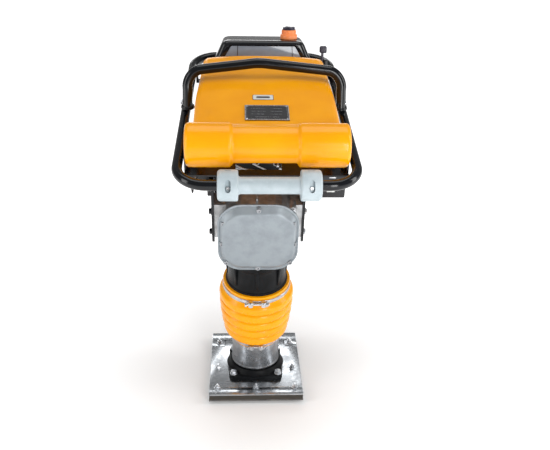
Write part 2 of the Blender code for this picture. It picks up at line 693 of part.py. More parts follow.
# ---------------------------------------------------------------- brackets and mounts
def make_brackets():
    """Side plates on the crankcase, with rubber mounts that carry the handle."""
    inner = BRACKET_X
    thick = BRACKET_THICK
    depth = 0.110
    shelf_width = 0.046
    for side, label in ((-1, "left"), (1, "right")):
        middle = side * (inner + thick / 2)
        plate = block(f"{label}_bracket", (thick, depth, BRACKET_TOP - BRACKET_LOW), BLACK,
                      (middle, -0.010, (BRACKET_TOP + BRACKET_LOW) / 2), parent=lean)
        shelf = block(f"{label}_shelf_shape", (shelf_width, depth, thick), None,
                      (side * (inner + shelf_width / 2), -0.010, BRACKET_TOP - thick / 2),
                      parent=lean, group=cutters)
        combine(plate, shelf, "UNION")
        for number, r in enumerate(MOUNT_R, start=1):
            rod(f"{label}_rubber_mount_{number}", MOUNT_RADIUS, MOUNT_HEIGHT, RUBBER,
                (side * MOUNT_X, r, BRACKET_TOP + GAP + MOUNT_HEIGHT / 2), parent=lean,
                sides=20, edge=0.003)


# ---------------------------------------------------------------- handle
def handle_height(r):
    """Height of the handle tube's centre at a distance along r."""
    return HANDLE_FRONT[1] + (r - HANDLE_FRONT[0]) * HANDLE_SLOPE


def side_tube(r):
    """Distance of a side tube's centre from the handle's middle."""
    start = HANDLE_FRONT[0] + FRONT_CORNER
    end = HANDLE_REAR[0] - REAR_CORNER
    share = (r - start) / (end - start)
    return HANDLE_HALF_FRONT + (HANDLE_HALF_REAR - HANDLE_HALF_FRONT) * share


def handle_route():
    """The closed loop of the main handle tube."""
    front, rear = HANDLE_FRONT[0], HANDLE_REAR[0]
    half = arc((HANDLE_HALF_FRONT - FRONT_CORNER, front + FRONT_CORNER), FRONT_CORNER,
               -90, 0, 9)
    half += [(side_tube(0.10), 0.10), (side_tube(0.30), 0.30)]
    half += arc((HANDLE_HALF_REAR - REAR_CORNER, rear - REAR_CORNER), REAR_CORNER, 0, 90, 8)
    flat = half + [(-x, r) for x, r in reversed(half)]
    return [(x, r, handle_height(r)) for x, r in flat]


def make_handle():
    """Main handle loop, cross plate, lifting hoop and its bolts."""
    tube("handle_frame", handle_route(), TUBE, BLACK, handle_axis, 4, True)
    plate_t = BRACKET_TOP + 2 * GAP + MOUNT_HEIGHT
    ear_outer = side_tube(0.045) - TUBE - GAP
    plate = block("handle_cross_plate", (2 * ear_outer, 0.118, 0.005), BLACK,
                  (0, -0.010, plate_t + 0.0025), parent=handle_axis)
    for side in (-1, 1):
        ear = block(f"plate_ear_shape_{side + 2}", (0.0045, 0.100, 0.048), None,
                    (side * (ear_outer - 0.00225), -0.005, plate_t + 0.024),
                    parent=handle_axis, group=cutters)
        combine(plate, ear, "UNION")
    slot = block("cross_plate_window", (0.120, 0.060, 0.03), None, (0, -0.010, plate_t),
                 parent=lean, group=cutters)
    combine(plate, slot, "DIFFERENCE")

    foot_t = handle_height(HOOP_R) + TUBE + HOOP_TUBE + GAP
    side_x = HOOP_HALF_WIDTH
    shoulder = 0.048
    shoulder_t = 0.868
    apex = (HOOP_APEX_X, 0.224, 0.899)
    flat = [(side_x, foot_t - 0.0095), (side_x, shoulder_t - shoulder + 0.012)]
    flat += arc((side_x - shoulder, shoulder_t - shoulder + 0.012), shoulder, 20, 75, 5)
    half = [(x, HOOP_R + 0.026 * (t - foot_t) / 0.09, t) for x, t in flat]
    route = half + [apex] + [(-x, r, t) for x, r, t in reversed(half)]
    tube("lifting_hoop", route, HOOP_TUBE, BLACK, handle_axis, 4)


def make_roller():
    """Two-part transport roller that turns on the front tube."""
    half = ROLLER_LENGTH / 2
    r, t = HANDLE_FRONT
    for label, side in (("left", -1), ("right", 1)):
        profile = [(ROLLER_BORE, half), (DRUM_RADIUS - 0.006, half), (DRUM_RADIUS, half - 0.006),
                   (DRUM_RADIUS, half - DRUM_LENGTH + 0.002),
                   (DRUM_RADIUS - 0.002, half - DRUM_LENGTH), (SLEEVE_RADIUS, half - DRUM_LENGTH),
                   (SLEEVE_RADIUS, GAP), (ROLLER_BORE, GAP)]
        if side < 0:
            profile = [(radius, -along) for radius, along in reversed(profile)]
        turned(f"roller_{label}", profile, GREY_PLASTIC, (ROLLER_SHIFT, r, t), ALONG_X,
               handle_axis, 32, True)


# ---------------------------------------------------------------- hood
def hood_loop(inset, open_below):
    """Side view of the hood in (r, t); the cavity's loop runs on below the rim."""
    radius = ROLL_RADIUS - inset
    loop = arc(ROLL_CENTRE, radius, -78, -275, 18)
    top_front = (HOOD_TOP_FRONT[0] + 0.012, HOOD_TOP_FRONT[1] - inset)
    top_rear = (HOOD_TOP_REAR[0], HOOD_TOP_REAR[1] - inset)
    loop += [top_front, (HOOD_TOP_MIDDLE[0], HOOD_TOP_MIDDLE[1] - inset), top_rear]
    rear = HOOD_TOP_REAR[0] + 0.026 - inset
    loop += [(rear - 0.008, top_rear[1] - 0.007), (rear, top_rear[1] - 0.024)]
    rim = 0.70 if open_below else 0.792
    loop += [(rear, rim)]
    if open_below:
        loop += [(-0.012, rim), (-0.012, 0.748)]
    else:
        loop += [(0.060, rim), (0.012, 0.760), (-0.012, 0.742)]
    return loop


def split_across(mesh, half_width, shares):
    """Cut a plate's long faces at several stations across its thickness."""
    bm = bmesh.new()
    bm.from_mesh(mesh)
    for share in shares:
        everything = bm.verts[:] + bm.edges[:] + bm.faces[:]
        bmesh.ops.bisect_plane(bm, geom=everything, dist=0.00001,
                               plane_co=(0, 0, share * half_width), plane_no=(0, 0, 1))
    bm.to_mesh(mesh)
    bm.free()


def make_hood():
    """One-piece moulded hood with a rolled front, open underneath, and its plate."""
    def solid(name, inset, open_below, group, surface):
        width = 2 * (HOOD_HALF_WIDTH - inset)
        made = outline(name, [hood_loop(inset, open_below)], width, surface,
                       rotation=FACING_X, parent=handle_axis, group=group)
        made = as_mesh(made)
        split_across(made.data, width / 2, (-0.85, -0.6, -0.3, 0.0, 0.3, 0.6, 0.85))
        shrink = 1 - HOOD_REAR_WIDTH / HOOD_HALF_WIDTH
        for vertex in made.data.vertices:
            along, up, across = vertex.co
            share = min(1.0, max(0.0, along / HOOD_TOP_REAR[0]))
            on_top = min(1.0, max(0.0, (up - 0.800) / 0.040))
            behind_roll = min(1.0, max(0.0, (along + 0.030) / 0.060))
            drop = HOOD_CROWN * (2 * abs(across) / width) ** 2.5
            vertex.co.y = up - drop * on_top * behind_roll
            vertex.co.z = across * (1 - shrink * share)
        return made

    hood = solid("hood", 0.0, False, parts, YELLOW)
    bevel(hood, 0.006, 2)
    cavity = solid("hood_cavity", HOOD_WALL, True, cutters, None)
    combine(hood, cavity, "DIFFERENCE")
    notch = block("hood_centre_notch", (0.170, 0.200, 0.020), None, (0.0, -0.075, 0.7380),
                  parent=handle_axis, group=cutters)
    combine(hood, notch, "DIFFERENCE")

    slope = math.atan2(HOOD_TOP_MIDDLE[1] - HOOD_TOP_FRONT[1],
                       HOOD_TOP_MIDDLE[0] - HOOD_TOP_FRONT[0] - 0.012)
    plate_r = 0.0215
    surface_t = HOOD_TOP_FRONT[1] + (plate_r - HOOD_TOP_FRONT[0] - 0.012) * math.tan(slope)
    block("nameplate", (0.112, 0.073, 0.0015), BLACK_PLASTIC,
          (0, plate_r, surface_t + 0.0015), (slope, 0, 0), handle_axis)


# ---------------------------------------------------------------- fuel tank and controls
def make_tank():
    """Level plastic tank on its bracket, with a filler cap."""
    def tapered(name, inset, group, surface):
        low, top = TANK_LOW_WIDTH / 2 - inset, TANK_TOP_WIDTH / 2 - inset
        floor, roof = TANK_Z[0] + inset, TANK_Z[1] - inset
        half = [(low, floor), (low, TANK_SHOULDER), (top, roof)]
        loop = half + [(-x, z) for x, z in reversed(half)]
        bm = bmesh.new()
        front = [bm.verts.new((x, TANK_Y[0] + inset, z)) for x, z in loop]
        rear = [bm.verts.new((x, TANK_Y[1] - inset, z)) for x, z in loop]
        bm.faces.new(front)
        bm.faces.new(rear[::-1])
        for index in range(len(loop)):
            after = (index + 1) % len(loop)
            bm.faces.new((front[after], front[index], rear[index], rear[after]))
        bmesh.ops.recalc_face_normals(bm, faces=bm.faces)
        return place(mesh_from(name, bm), surface, (HANDLE_SHIFT, 0, 0), group=group)

    tank = bevel(tapered("fuel_tank", 0.0, parts, BLACK_PLASTIC), 0.012, 3)
    combine(tank, tapered("tank_cavity", 0.004, cutters, None), "DIFFERENCE")
    filler = rod("filler_hole", 0.017, 0.04, None, (HANDLE_SHIFT + CAP_X, CAP_Y, TANK_Z[1]),
                 group=cutters)
    combine(tank, filler, "DIFFERENCE")

    seat = TANK_Z[1] + GAP
    profile = [(0, seat + 0.035), (0.019, seat + 0.035), (0.0215, seat + 0.032),
               (0.0215, seat + 0.018), (0.0255, seat + 0.015), (0.0255, seat + 0.002),
               (0.0235, seat), (0, seat)]
    turned("fuel_cap", profile, ORANGE_PLASTIC, (HANDLE_SHIFT + CAP_X, CAP_Y, 0))

    shelf = TANK_Z[0] - GAP
    reach = side_tube(0.48) - TUBE - GAP
    loop = [(-reach, 0.930), (-reach, shelf - 0.006), (reach, shelf - 0.006), (reach, 0.930),
            (reach - 0.006, 0.930), (reach - 0.006, shelf), (-reach + 0.006, shelf),
            (-reach + 0.006, 0.930)]
    outline("tank_bracket", [loop], 0.036, BLACK, (HANDLE_SHIFT, 0.222, 0), FACING_R)


def make_controls():
    """Throttle lever on its bracket, and the cable to the carburettor."""
    tube_inner = HANDLE_SHIFT + side_tube(0.472) - TUBE
    bracket_x = tube_inner - GAP - 0.006
    lever_x = bracket_x - 0.010
    pivot_y, pivot_z = THROTTLE_PIVOT
    block("throttle_bracket", (0.012, 0.036, 0.048), BLACK_PLASTIC,
          (bracket_x, pivot_y, pivot_z - 0.010), edge=0.002, segments=1)
    lever = block("throttle_lever", (0.007, 0.016, 0.050), SLATE_PLASTIC,
                  (lever_x, pivot_y, pivot_z + 0.017), edge=0.001, segments=1)
    knob = block("lever_knob_shape", (0.022, 0.018, 0.020), None,
                 (lever_x + 0.002, pivot_y, pivot_z + 0.042), group=cutters)
    combine(lever, knob, "UNION")
    start = (bracket_x - 0.0035, pivot_y - 0.0195, pivot_z - 0.006)
    stops = [start, (0.2065, 0.205, 0.921), (0.2085, 0.160, 0.895), (0.203, 0.110, 0.868),
             (0.158, 0.050, 0.858), (0.095, -0.006, 0.864), (0.020, -0.017, 0.864),
             (-0.030, -0.013, 0.856), (-0.045, -0.010, 0.8315)]
    tube("throttle_cable", smooth_route(stops, 4), CABLE_RADIUS, RUBBER, None, 2)


make_shoe()
make_foot_flange()
make_leg()
make_bellows()
make_guide()
make_crankcase()
make_crank_train()
make_clutch()
make_engine()
make_brackets()
make_handle()
make_roller()
make_hood()
make_tank()
make_controls()
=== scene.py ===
"""The look of the vibratory tamping rammer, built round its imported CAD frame."""
from math import atan2, cos, degrees, exp, hypot, pi, radians, sin, sqrt, tan

import bmesh
import bpy
from mathutils import Matrix, Vector


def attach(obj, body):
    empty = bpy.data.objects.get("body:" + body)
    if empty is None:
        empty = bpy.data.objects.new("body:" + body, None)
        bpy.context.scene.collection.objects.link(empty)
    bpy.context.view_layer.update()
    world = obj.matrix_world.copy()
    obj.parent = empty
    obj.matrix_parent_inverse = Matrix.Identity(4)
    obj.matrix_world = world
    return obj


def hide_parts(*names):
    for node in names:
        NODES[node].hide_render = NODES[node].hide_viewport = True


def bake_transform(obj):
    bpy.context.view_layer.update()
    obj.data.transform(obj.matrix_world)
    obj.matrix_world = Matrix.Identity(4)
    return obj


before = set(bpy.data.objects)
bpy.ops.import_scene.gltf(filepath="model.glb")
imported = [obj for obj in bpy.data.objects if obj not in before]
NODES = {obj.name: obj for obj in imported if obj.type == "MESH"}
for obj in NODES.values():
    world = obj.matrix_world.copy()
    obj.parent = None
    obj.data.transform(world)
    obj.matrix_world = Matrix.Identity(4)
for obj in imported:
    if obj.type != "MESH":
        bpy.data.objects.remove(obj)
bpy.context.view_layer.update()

# The leg leans forward: x across, r rearward square to the leg, t up along the leg.
LEAN = Matrix.Translation((0, -0.012, 0.062)) @ Matrix.Rotation(radians(12), 4, "X")
HANDLE = LEAN @ Matrix.Translation((0.0205, 0, 0))     # the handle sits off the leg's axis
WORLD = Matrix.Identity(4)
COVER_CENTRE = 0.539
COVER_WIDTH, COVER_HEIGHT = 0.21, 0.2085
SHAFT = 0.616


# ---------------------------------------------------------------- camera, floor and lights
def aim(pitch, yaw, roll, location):
    """A matrix that looks down by pitch, turned by yaw and rolled, in degrees."""
    pitch, yaw, roll = (radians(a) for a in (pitch, yaw, roll))
    ahead = Vector((sin(yaw) * cos(pitch), cos(yaw) * cos(pitch),
                    -sin(pitch)))
    right = Vector((cos(yaw), -sin(yaw), 0))
    up = right.cross(ahead)
    turned = cos(roll) * right + sin(roll) * up
    tall = cos(roll) * up - sin(roll) * right
    matrix = Matrix((turned, tall, -ahead)).transposed().to_4x4()
    matrix.translation = location
    return matrix


def make_camera():
    data = bpy.data.cameras.new("camera")
    data.sensor_width = 36
    data.lens = 45.24
    camera = bpy.data.objects.new("camera", data)
    bpy.context.scene.collection.objects.link(camera)
    camera.matrix_world = aim(23.11, 3.09, 1.16, (-0.0464, -1.8877, 1.3219))
    bpy.context.scene.camera = camera


def area_light(name, location, target, size, power, height=None):
    data = bpy.data.lights.new(name, "AREA")
    data.shape = "RECTANGLE"
    data.size = size
    data.size_y = height or size
    data.energy = power
    lamp = bpy.data.objects.new(name, data)
    bpy.context.scene.collection.objects.link(lamp)
    lamp.location = location
    away = Vector(location) - Vector(target)
    lamp.rotation_euler = away.to_track_quat("Z", "Y").to_euler()


def make_lights():
    world = bpy.data.worlds.new("studio")
    world.use_nodes = True
    world.node_tree.nodes["Background"].inputs["Color"].default_value = (1, 1, 1, 1)
    world.node_tree.nodes["Background"].inputs["Strength"].default_value = 0.3
    bpy.context.scene.world = world
    area_light("front_box", (1.0, -2.7, 1.1), (0, 0, 0.6), 0.8, 36, 1.6)
    area_light("left_box", (-2.1, -1.0, 1.3), (0, 0, 0.5), 0.7, 17, 1.8)
    area_light("right_box", (2.1, -0.4, 1.3), (0, 0, 0.5), 0.6, 17, 1.8)
    area_light("top_box", (0.0, 0.2, 3.0), (0, 0.1, 0.5), 2.2, 22, 1.4)
    area_light("back_box", (0.0, 3.2, 2.3), (0, 0.2, 1.0), 2.8, 22, 0.7)


# ---------------------------------------------------------------- node materials
class Nodes:
    """A material's nodes, made in short calls."""

    def __init__(self, name):
        self.made = bpy.data.materials.new(name)
        self.made.use_nodes = True
        self.tree = self.made.node_tree
        self.shader = self.tree.nodes["Principled BSDF"]
        self.place = self.add("ShaderNodeTexCoord").outputs["Object"]

    def add(self, kind, **inputs):
        node = self.tree.nodes.new(kind)
        for key, value in inputs.items():
            socket = node.inputs[key.replace("_", " ")]
            if isinstance(value, bpy.types.NodeSocket):
                self.tree.links.new(value, socket)
            else:
                socket.default_value = value
        return node

    def link(self, source, target):
        self.tree.links.new(source, target)

    def mapped(self, scale=(1, 1, 1), turn=(0, 0, 0)):
        """Object coordinates, turned and then stretched."""
        node = self.add("ShaderNodeMapping", Vector=self.place, Scale=scale, Rotation=turn)
        return node.outputs["Vector"]

    def noise(self, scale, detail=4.0, rough=0.55, vector=None):
        node = self.add("ShaderNodeTexNoise", Scale=scale, Detail=detail, Roughness=rough,
                        Vector=vector or self.place)
        return node.outputs["Fac"]

    def ramp(self, value, low, high, start=0.0, end=1.0):
        """A value stretched from the span low-high to start-end."""
        node = self.add("ShaderNodeMapRange", Value=value)
        for key, number in (("From Min", low), ("From Max", high), ("To Min", start),
                            ("To Max", end)):
            node.inputs[key].default_value = number
        return node.outputs["Result"]

    def mix(self, factor, first, second):
        node = self.tree.nodes.new("ShaderNodeMix")
        node.data_type = "RGBA"
        self.link(factor, node.inputs["Factor"])
        for key, value in (("A", first), ("B", second)):
            socket = [s for s in node.inputs if s.name == key and s.type == "RGBA"][0]
            if isinstance(value, bpy.types.NodeSocket):
                self.link(value, socket)
            else:
                socket.default_value = (*value, 1)
        return [s for s in node.outputs if s.type == "RGBA"][0]

    def math(self, operation, first, second):
        node = self.tree.nodes.new("ShaderNodeMath")
        node.operation = operation
        for socket, value in zip(node.inputs, (first, second)):
            if isinstance(value, bpy.types.NodeSocket):
                self.link(value, socket)
            else:
                socket.default_value = value
        return node.outputs[0]

    def bump(self, height, distance):
        node = self.add("ShaderNodeBump", Height=height, Distance=distance, Strength=1.0)
        return node.outputs["Normal"]

    def finish(self, color, roughness, normal=None, **constants):
        for key, value in (("Base Color", color), ("Roughness", roughness), ("Normal", normal)):
            if value is not None:
                self.link(value, self.shader.inputs[key])
        for key, value in constants.items():
            self.shader.inputs[key.replace("_", " ")].default_value = value
        return self.made


def varied(nodes, dark, light, scale):
    """A colour that drifts between two tones."""
    return nodes.mix(nodes.ramp(nodes.noise(scale, 5), 0.35, 0.65), dark, light)


def gloss_paint(name, dark, light, rough, grain=900.0, relief=0.00002, coat=0.5, drift=9.0,
                specular=0.22):
    """Smooth paint or moulded gloss: slight tone drift, faint orange peel, fine smears."""
    n = Nodes(name)
    color = varied(n, dark, light, drift)
    smear = n.noise(38, 6, 0.65)
    roughness = n.ramp(smear, 0.3, 0.7, rough * 0.75, rough * 1.35)
    peel = n.bump(n.noise(grain, 2), relief)
    return n.finish(color, roughness, peel, Coat_Weight=coat, Coat_Roughness=0.06,
                    Specular_IOR_Level=specular)


def cast_metal(name, dark, light, rough, metal, grain=520.0, relief=0.0002, specular=0.5):
    """Sand-cast skin: pebbled relief, stained hollows, duller patches."""
    n = Nodes(name)
    pebbles = n.noise(grain, 5, 0.7)
    stain = n.ramp(n.noise(30, 6, 0.6), 0.4, 0.66)
    color = n.mix(stain, light, dark)
    roughness = n.ramp(pebbles, 0.25, 0.75, rough * 0.8, min(1.0, rough * 1.25))
    return n.finish(color, roughness, n.bump(pebbles, relief), Metallic=metal,
                    Specular_IOR_Level=specular)


def brushed_metal(name, dark, light, rough, stretch=(40, 900, 900), turn=(0, 0, 0), metal=1.0):
    """Rolled or turned steel: long fine scratches over cloudy staining."""
    n = Nodes(name)
    lines = n.noise(1.0, 4, 0.6, n.mapped(stretch, turn))
    clouds = n.noise(22, 6, 0.62)
    color = n.mix(n.ramp(clouds, 0.35, 0.68), light, dark)
    roughness = n.math("ADD", n.ramp(lines, 0.3, 0.7, rough * 0.6, rough * 1.3),
                       n.ramp(clouds, 0.4, 0.7, 0.0, 0.14))
    return n.finish(color, roughness, n.bump(lines, 0.00004), Metallic=metal)


def moulded(name, dark, light, rough, grain=1400.0, relief=0.00005):
    """Moulded plastic or rubber with a fine sparked grain and handling marks."""
    n = Nodes(name)
    cells = n.add("ShaderNodeTexVoronoi", Scale=grain, Vector=n.place).outputs["Distance"]
    marks = n.ramp(n.noise(55, 6, 0.7), 0.52, 0.72)
    color = n.mix(marks, varied(n, dark, light, 20.0), light)
    roughness = n.math("ADD", n.ramp(cells, 0, 0.6, rough * 0.85, rough * 1.1),
                       n.ramp(marks, 0, 1, 0, 0.12))
    return n.finish(color, roughness, n.bump(cells, relief))


def laminated(name):
    """Resin-bonded plywood: level veneers with pale glue lines and worn fibres."""
    n = Nodes(name)
    layers = n.add("ShaderNodeTexWave", Scale=1.0, Distortion=0.6, Detail=2.0,
                   Vector=n.mapped((6, 6, 155)))
    layers.bands_direction = "Z"
    line = n.ramp(layers.outputs["Fac"], 0.8, 0.97)
    fibres = n.noise(1.0, 5, 0.7, n.mapped((60, 60, 900)))
    wood = n.mix(n.ramp(fibres, 0.3, 0.7), (0.012, 0.011, 0.01), (0.045, 0.038, 0.03))
    color = n.mix(line, wood, (0.085, 0.07, 0.05))
    roughness = n.ramp(fibres, 0.2, 0.8, 0.55, 0.85)
    return n.finish(color, roughness, n.bump(fibres, 0.0003))


M = {
    "yellow": gloss_paint("hood_yellow", (0.9, 0.345, 0.0006), (0.96, 0.39, 0.001), 0.2,
                          coat=0.16),
    "bellows": gloss_paint("bellows_yellow", (0.94, 0.345, 0.0004), (0.98, 0.39, 0.0008), 0.24,
                           700, 0.00004, 0.12, 16),
    "black": gloss_paint("tube_black", (0.0015, 0.002, 0.0032), (0.003, 0.0038, 0.006), 0.14,
                         700, 0.00003, 0.14, specular=0.3),
    "tank": gloss_paint("tank_black", (0.004, 0.0045, 0.006), (0.008, 0.0085, 0.011), 0.12, 500,
                        0.00003, 0.5),
    # Light grey-blue painted on the tank's black front: a painted reflection of a bright window,
    # not the tank's own colour.
    "tank_painted_reflection": gloss_paint("tank_painted_reflection", (0.16, 0.19, 0.24), (0.3, 0.35, 0.42), 0.12, 400,
                              0.00003, 0.6, 5.0),
    "cast_black": cast_metal("cast_black", (0.0025, 0.0028, 0.0032), (0.007, 0.0078, 0.009), 0.36,
                             0.0, 420, 0.0004, 0.12),
    "cast": cast_metal("cast_aluminium", (0.36, 0.36, 0.36), (0.6, 0.61, 0.62), 0.42, 0.85),
    "cover": cast_metal("cover_silver", (0.235, 0.262, 0.285), (0.285, 0.318, 0.342), 0.42, 0.45,
                        900, 0.00008),
    "leg": brushed_metal("leg_silver", (0.2, 0.205, 0.215), (0.42, 0.43, 0.45), 0.28,
                         (700, 700, 40), (-radians(12), 0, 0), 0.9),
    "deck": brushed_metal("deck_steel", (0.34, 0.36, 0.38), (0.56, 0.585, 0.61), 0.2,
                          (60, 900, 900)),
    "sole": brushed_metal("sole_steel", (0.1, 0.1, 0.1), (0.24, 0.23, 0.22), 0.42,
                          (60, 700, 700)),
    "zinc": brushed_metal("zinc_bolts", (0.5, 0.52, 0.55), (0.78, 0.79, 0.8), 0.24,
                          (500, 500, 500)),
    "band": brushed_metal("band_steel", (0.42, 0.43, 0.45), (0.7, 0.71, 0.74), 0.26,
                          (90, 90, 1200)),
    "dark_steel": brushed_metal("dark_steel", (0.05, 0.05, 0.05), (0.16, 0.16, 0.165), 0.36,
                                (300, 300, 300)),
    "wood": laminated("laminated_wood"),
    "grey": moulded("grey_plastic", (0.39, 0.46, 0.49), (0.47, 0.54, 0.575), 0.36),
    "black_plastic": moulded("black_plastic", (0.005, 0.005, 0.006), (0.013, 0.013, 0.016),
                             0.42),
    "slate": moulded("slate_plastic", (0.022, 0.02, 0.034), (0.048, 0.044, 0.07), 0.42),
    "orange": moulded("orange_plastic", (0.8, 0.19, 0.04), (0.9, 0.29, 0.09), 0.35),
    "rubber": moulded("black_rubber", (0.01, 0.01, 0.011), (0.03, 0.03, 0.031), 0.68,
                      900, 0.0001),
    "label": gloss_paint("label_vinyl", (0.62, 0.64, 0.62), (0.76, 0.77, 0.74), 0.35, 600),
    "kraft": gloss_paint("kraft_label", (0.3, 0.15, 0.08), (0.42, 0.23, 0.13), 0.5, 600,
                         0.00003, 0.1),
    "white": gloss_paint("white_fitting", (0.62, 0.66, 0.68), (0.8, 0.82, 0.83), 0.25),
}


# ---------------------------------------------------------------- mesh helpers
class Shape:
    """Closed shells gathered into one mesh, each with its own material."""

    def __init__(self, place=WORLD):
        self.bm = bmesh.new()
        self.place = place
        self.surfaces = []

    def add(self, bm, surface, at=WORLD):
        if surface not in self.surfaces:
            self.surfaces.append(surface)
        bmesh.ops.recalc_face_normals(bm, faces=bm.faces)
        bm.transform(self.place @ at)
        for face in bm.faces:
            face.material_index = self.surfaces.index(surface)
            face.smooth = True
        mesh = bpy.data.meshes.new("shell")
        bm.to_mesh(mesh)
        bm.free()
        self.bm.from_mesh(mesh)
        bpy.data.meshes.remove(mesh)

    def finish(self, name, slot, body=None, replaces=(), sharp=32):
        """The gathered object, riding on a body and standing for CAD nodes."""
        mesh = bpy.data.meshes.new(name)
        self.bm.to_mesh(mesh)
        self.bm.free()
        mesh.set_sharp_from_angle(angle=radians(sharp))
        made = bpy.data.objects.new(name, mesh)
        bpy.context.scene.collection.objects.link(made)
        for surface in self.surfaces:
            mesh.materials.append(M[surface])
        if body:
            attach(made, body)
        if replaces:
            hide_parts(*replaces)
        return made


def moved(x, y, z, *turns):
    """A place, with turns such as ("X", 90) applied in order."""
    matrix = Matrix.Translation((x, y, z))
    for axis, angle in turns:
        matrix = matrix @ Matrix.Rotation(radians(angle), 4, axis)
    return matrix


def about_z(angle):
    return Matrix.Rotation(radians(angle), 4, "Z")


def facing(x, r, t):
    """A place whose own +Z points forward, along -r."""
    return moved(x, r, t, ("X", 90))


def box(size, edge=0.0, segments=3):
    bm = bmesh.new()
    bmesh.ops.create_cube(bm, size=1.0)
    bmesh.ops.scale(bm, vec=size, verts=bm.verts)
    if edge:
        bmesh.ops.bevel(bm, geom=bm.edges[:], offset=edge, segments=segments, profile=0.5,
                        affect="EDGES", clamp_overlap=True)
    return bm


def lathe(profile, sides=64, ring=False):
    """A (radius, height) profile spun about +Z; ring joins its last point to its first."""
    bm = bmesh.new()
    columns = []
    for index in range(sides):
        angle = 2 * pi * index / sides
        columns.append([bm.verts.new((r * cos(angle), r * sin(angle), h))
                        if r > 1e-7 else None for r, h in profile])
    poles = {k: bm.verts.new((0, 0, h)) for k, (r, h) in enumerate(profile) if r <= 1e-7}
    count = len(profile)
    for index in range(sides):
        first, second = columns[index], columns[(index + 1) % sides]
        for k in range(count if ring else count - 1):
            m = (k + 1) % count
            corners = [first[k] or poles.get(k), second[k] or poles.get(k),
                       second[m] or poles.get(m), first[m] or poles.get(m)]
            face = []
            for corner in corners:
                if corner not in face:
                    face.append(corner)
            if len(face) > 2:
                bm.faces.new(face)
    return bm


def rounded(points, radius, steps=4):
    """A 2-D outline with its corners turned into curves."""
    out = []
    count = len(points)
    for index, point in enumerate(points):
        here = Vector(point)
        before = Vector(points[index - 1]) - here
        after = Vector(points[(index + 1) % count]) - here
        bend = before.angle(after) / 2
        reach = min(radius / tan(bend), before.length * 0.49, after.length * 0.49)
        start = here + before.normalized() * reach
        end = here + after.normalized() * reach
        for step in range(steps + 1):
            u = step / steps
            out.append(tuple((1 - u) ** 2 * start + 2 * u * (1 - u) * here + u * u * end))
    return out


def oblong(half_x, half_y, radius, steps=4):
    """A rounded rectangle about the origin."""
    return rounded([(-half_x, -half_y), (half_x, -half_y), (half_x, half_y), (-half_x, half_y)],
                   radius, steps)


def prism(loop, low, high, edge=0.0, segments=2):
    """A 2-D loop raised along +Z, with rounded rims."""
    bm = bmesh.new()
    lower = [bm.verts.new((x, y, low)) for x, y in loop]
    upper = [bm.verts.new((x, y, high)) for x, y in loop]
    bm.faces.new(lower[::-1])
    bm.faces.new(upper)
    count = len(loop)
    for index in range(count):
        after = (index + 1) % count
        bm.faces.new((lower[index], lower[after], upper[after], upper[index]))
    if edge:
        rims = [e for e in bm.edges
                if abs(e.verts[0].co.z - e.verts[1].co.z) < 1e-9]
        bmesh.ops.bevel(bm, geom=rims, offset=edge, segments=segments, profile=0.5,
                        affect="EDGES", clamp_overlap=True)
    return bm


def loft(rings, closed_rows=True, caps=True, closed_way=False):
    """Quads between rings of points; caps close its two ends."""
    bm = bmesh.new()
    rows = [[bm.verts.new(point) for point in ring] for ring in rings]
    width = len(rows[0])
    pairs = list(zip(rows, rows[1:])) + ([(rows[-1], rows[0])] if closed_way else [])
    for first, second in pairs:
        for k in range(width if closed_rows else width - 1):
            m = (k + 1) % width
            bm.faces.new((first[k], first[m], second[m], second[k]))
    if caps and not closed_way:
        bm.faces.new(rows[0][::-1])
        bm.faces.new(rows[-1])
    return bm


def circle(centre, radius, first, second, sides):
    """Points round a centre, in the plane of two unit directions."""
    return [centre + radius * (cos(a) * first + sin(a) * second)
            for a in (2 * pi * k / sides for k in range(sides))]


def pipe(path, radius, sides):
    """A round tube with flat ends along a path."""
    points = [Vector(p) for p in path]
    rings = []
    normal = None
    for index, point in enumerate(points):
        before = points[index - 1] if index else point
        after = points[index + 1] if index < len(points) - 1 else point
        way = (after - before).normalized()
        if normal is None:
            normal = way.orthogonal().normalized()
        normal = (normal - way * normal.dot(way)).normalized()
        rings.append(circle(point, radius, normal, way.cross(normal), sides))
    return loft(rings)


def closed_pipe(points, radius, sides):
    """A closed tube, with rings kept level so that its ends meet."""
    rings = []
    for index, point in enumerate(points):
        way = (points[(index + 1) % len(points)] - points[index - 1]).normalized()
        up = Vector((0, 0, 1))
        up = (up - way * up.dot(way)).normalized()
        rings.append(circle(point, radius, up, way.cross(up), sides))
    return loft(rings, closed_way=True)


def curve_through(stops, steps, closed=False):
    """A smooth line through stops."""
    stops = [Vector(s) for s in stops]
    count = len(stops)
    out = []
    for index in range(count if closed else count - 1):
        one, two = stops[index], stops[(index + 1) % count]
        before = stops[index - 1] if index or closed else 2 * one - two
        after = stops[(index + 2) % count] if index < count - 2 or closed else 2 * two - one
        for step in range(steps):
            u = step / steps
            out.append(0.5 * (2 * one + (two - before) * u
                              + (2 * before - 5 * one + 4 * two - after) * u ** 2
                              + (3 * one - before - 3 * two + after) * u ** 3))
    if not closed:
        out.append(stops[-1])
    return out


def bead(radius, height, thick, sides):
    """A round-sectioned ring about +Z."""
    return lathe(arc((radius, height), thick, 0, 330, 11), sides, True)


def arc(centre, radius, start, end, steps):
    span = end - start
    return [(centre[0] + radius * cos(radians(start + span * k / steps)),
             centre[1] + radius * sin(radians(start + span * k / steps)))
            for k in range(steps + 1)]


def hexagon(across):
    return [(across / sqrt(3) * cos(radians(60 * k)),
             across / sqrt(3) * sin(radians(60 * k))) for k in range(6)]


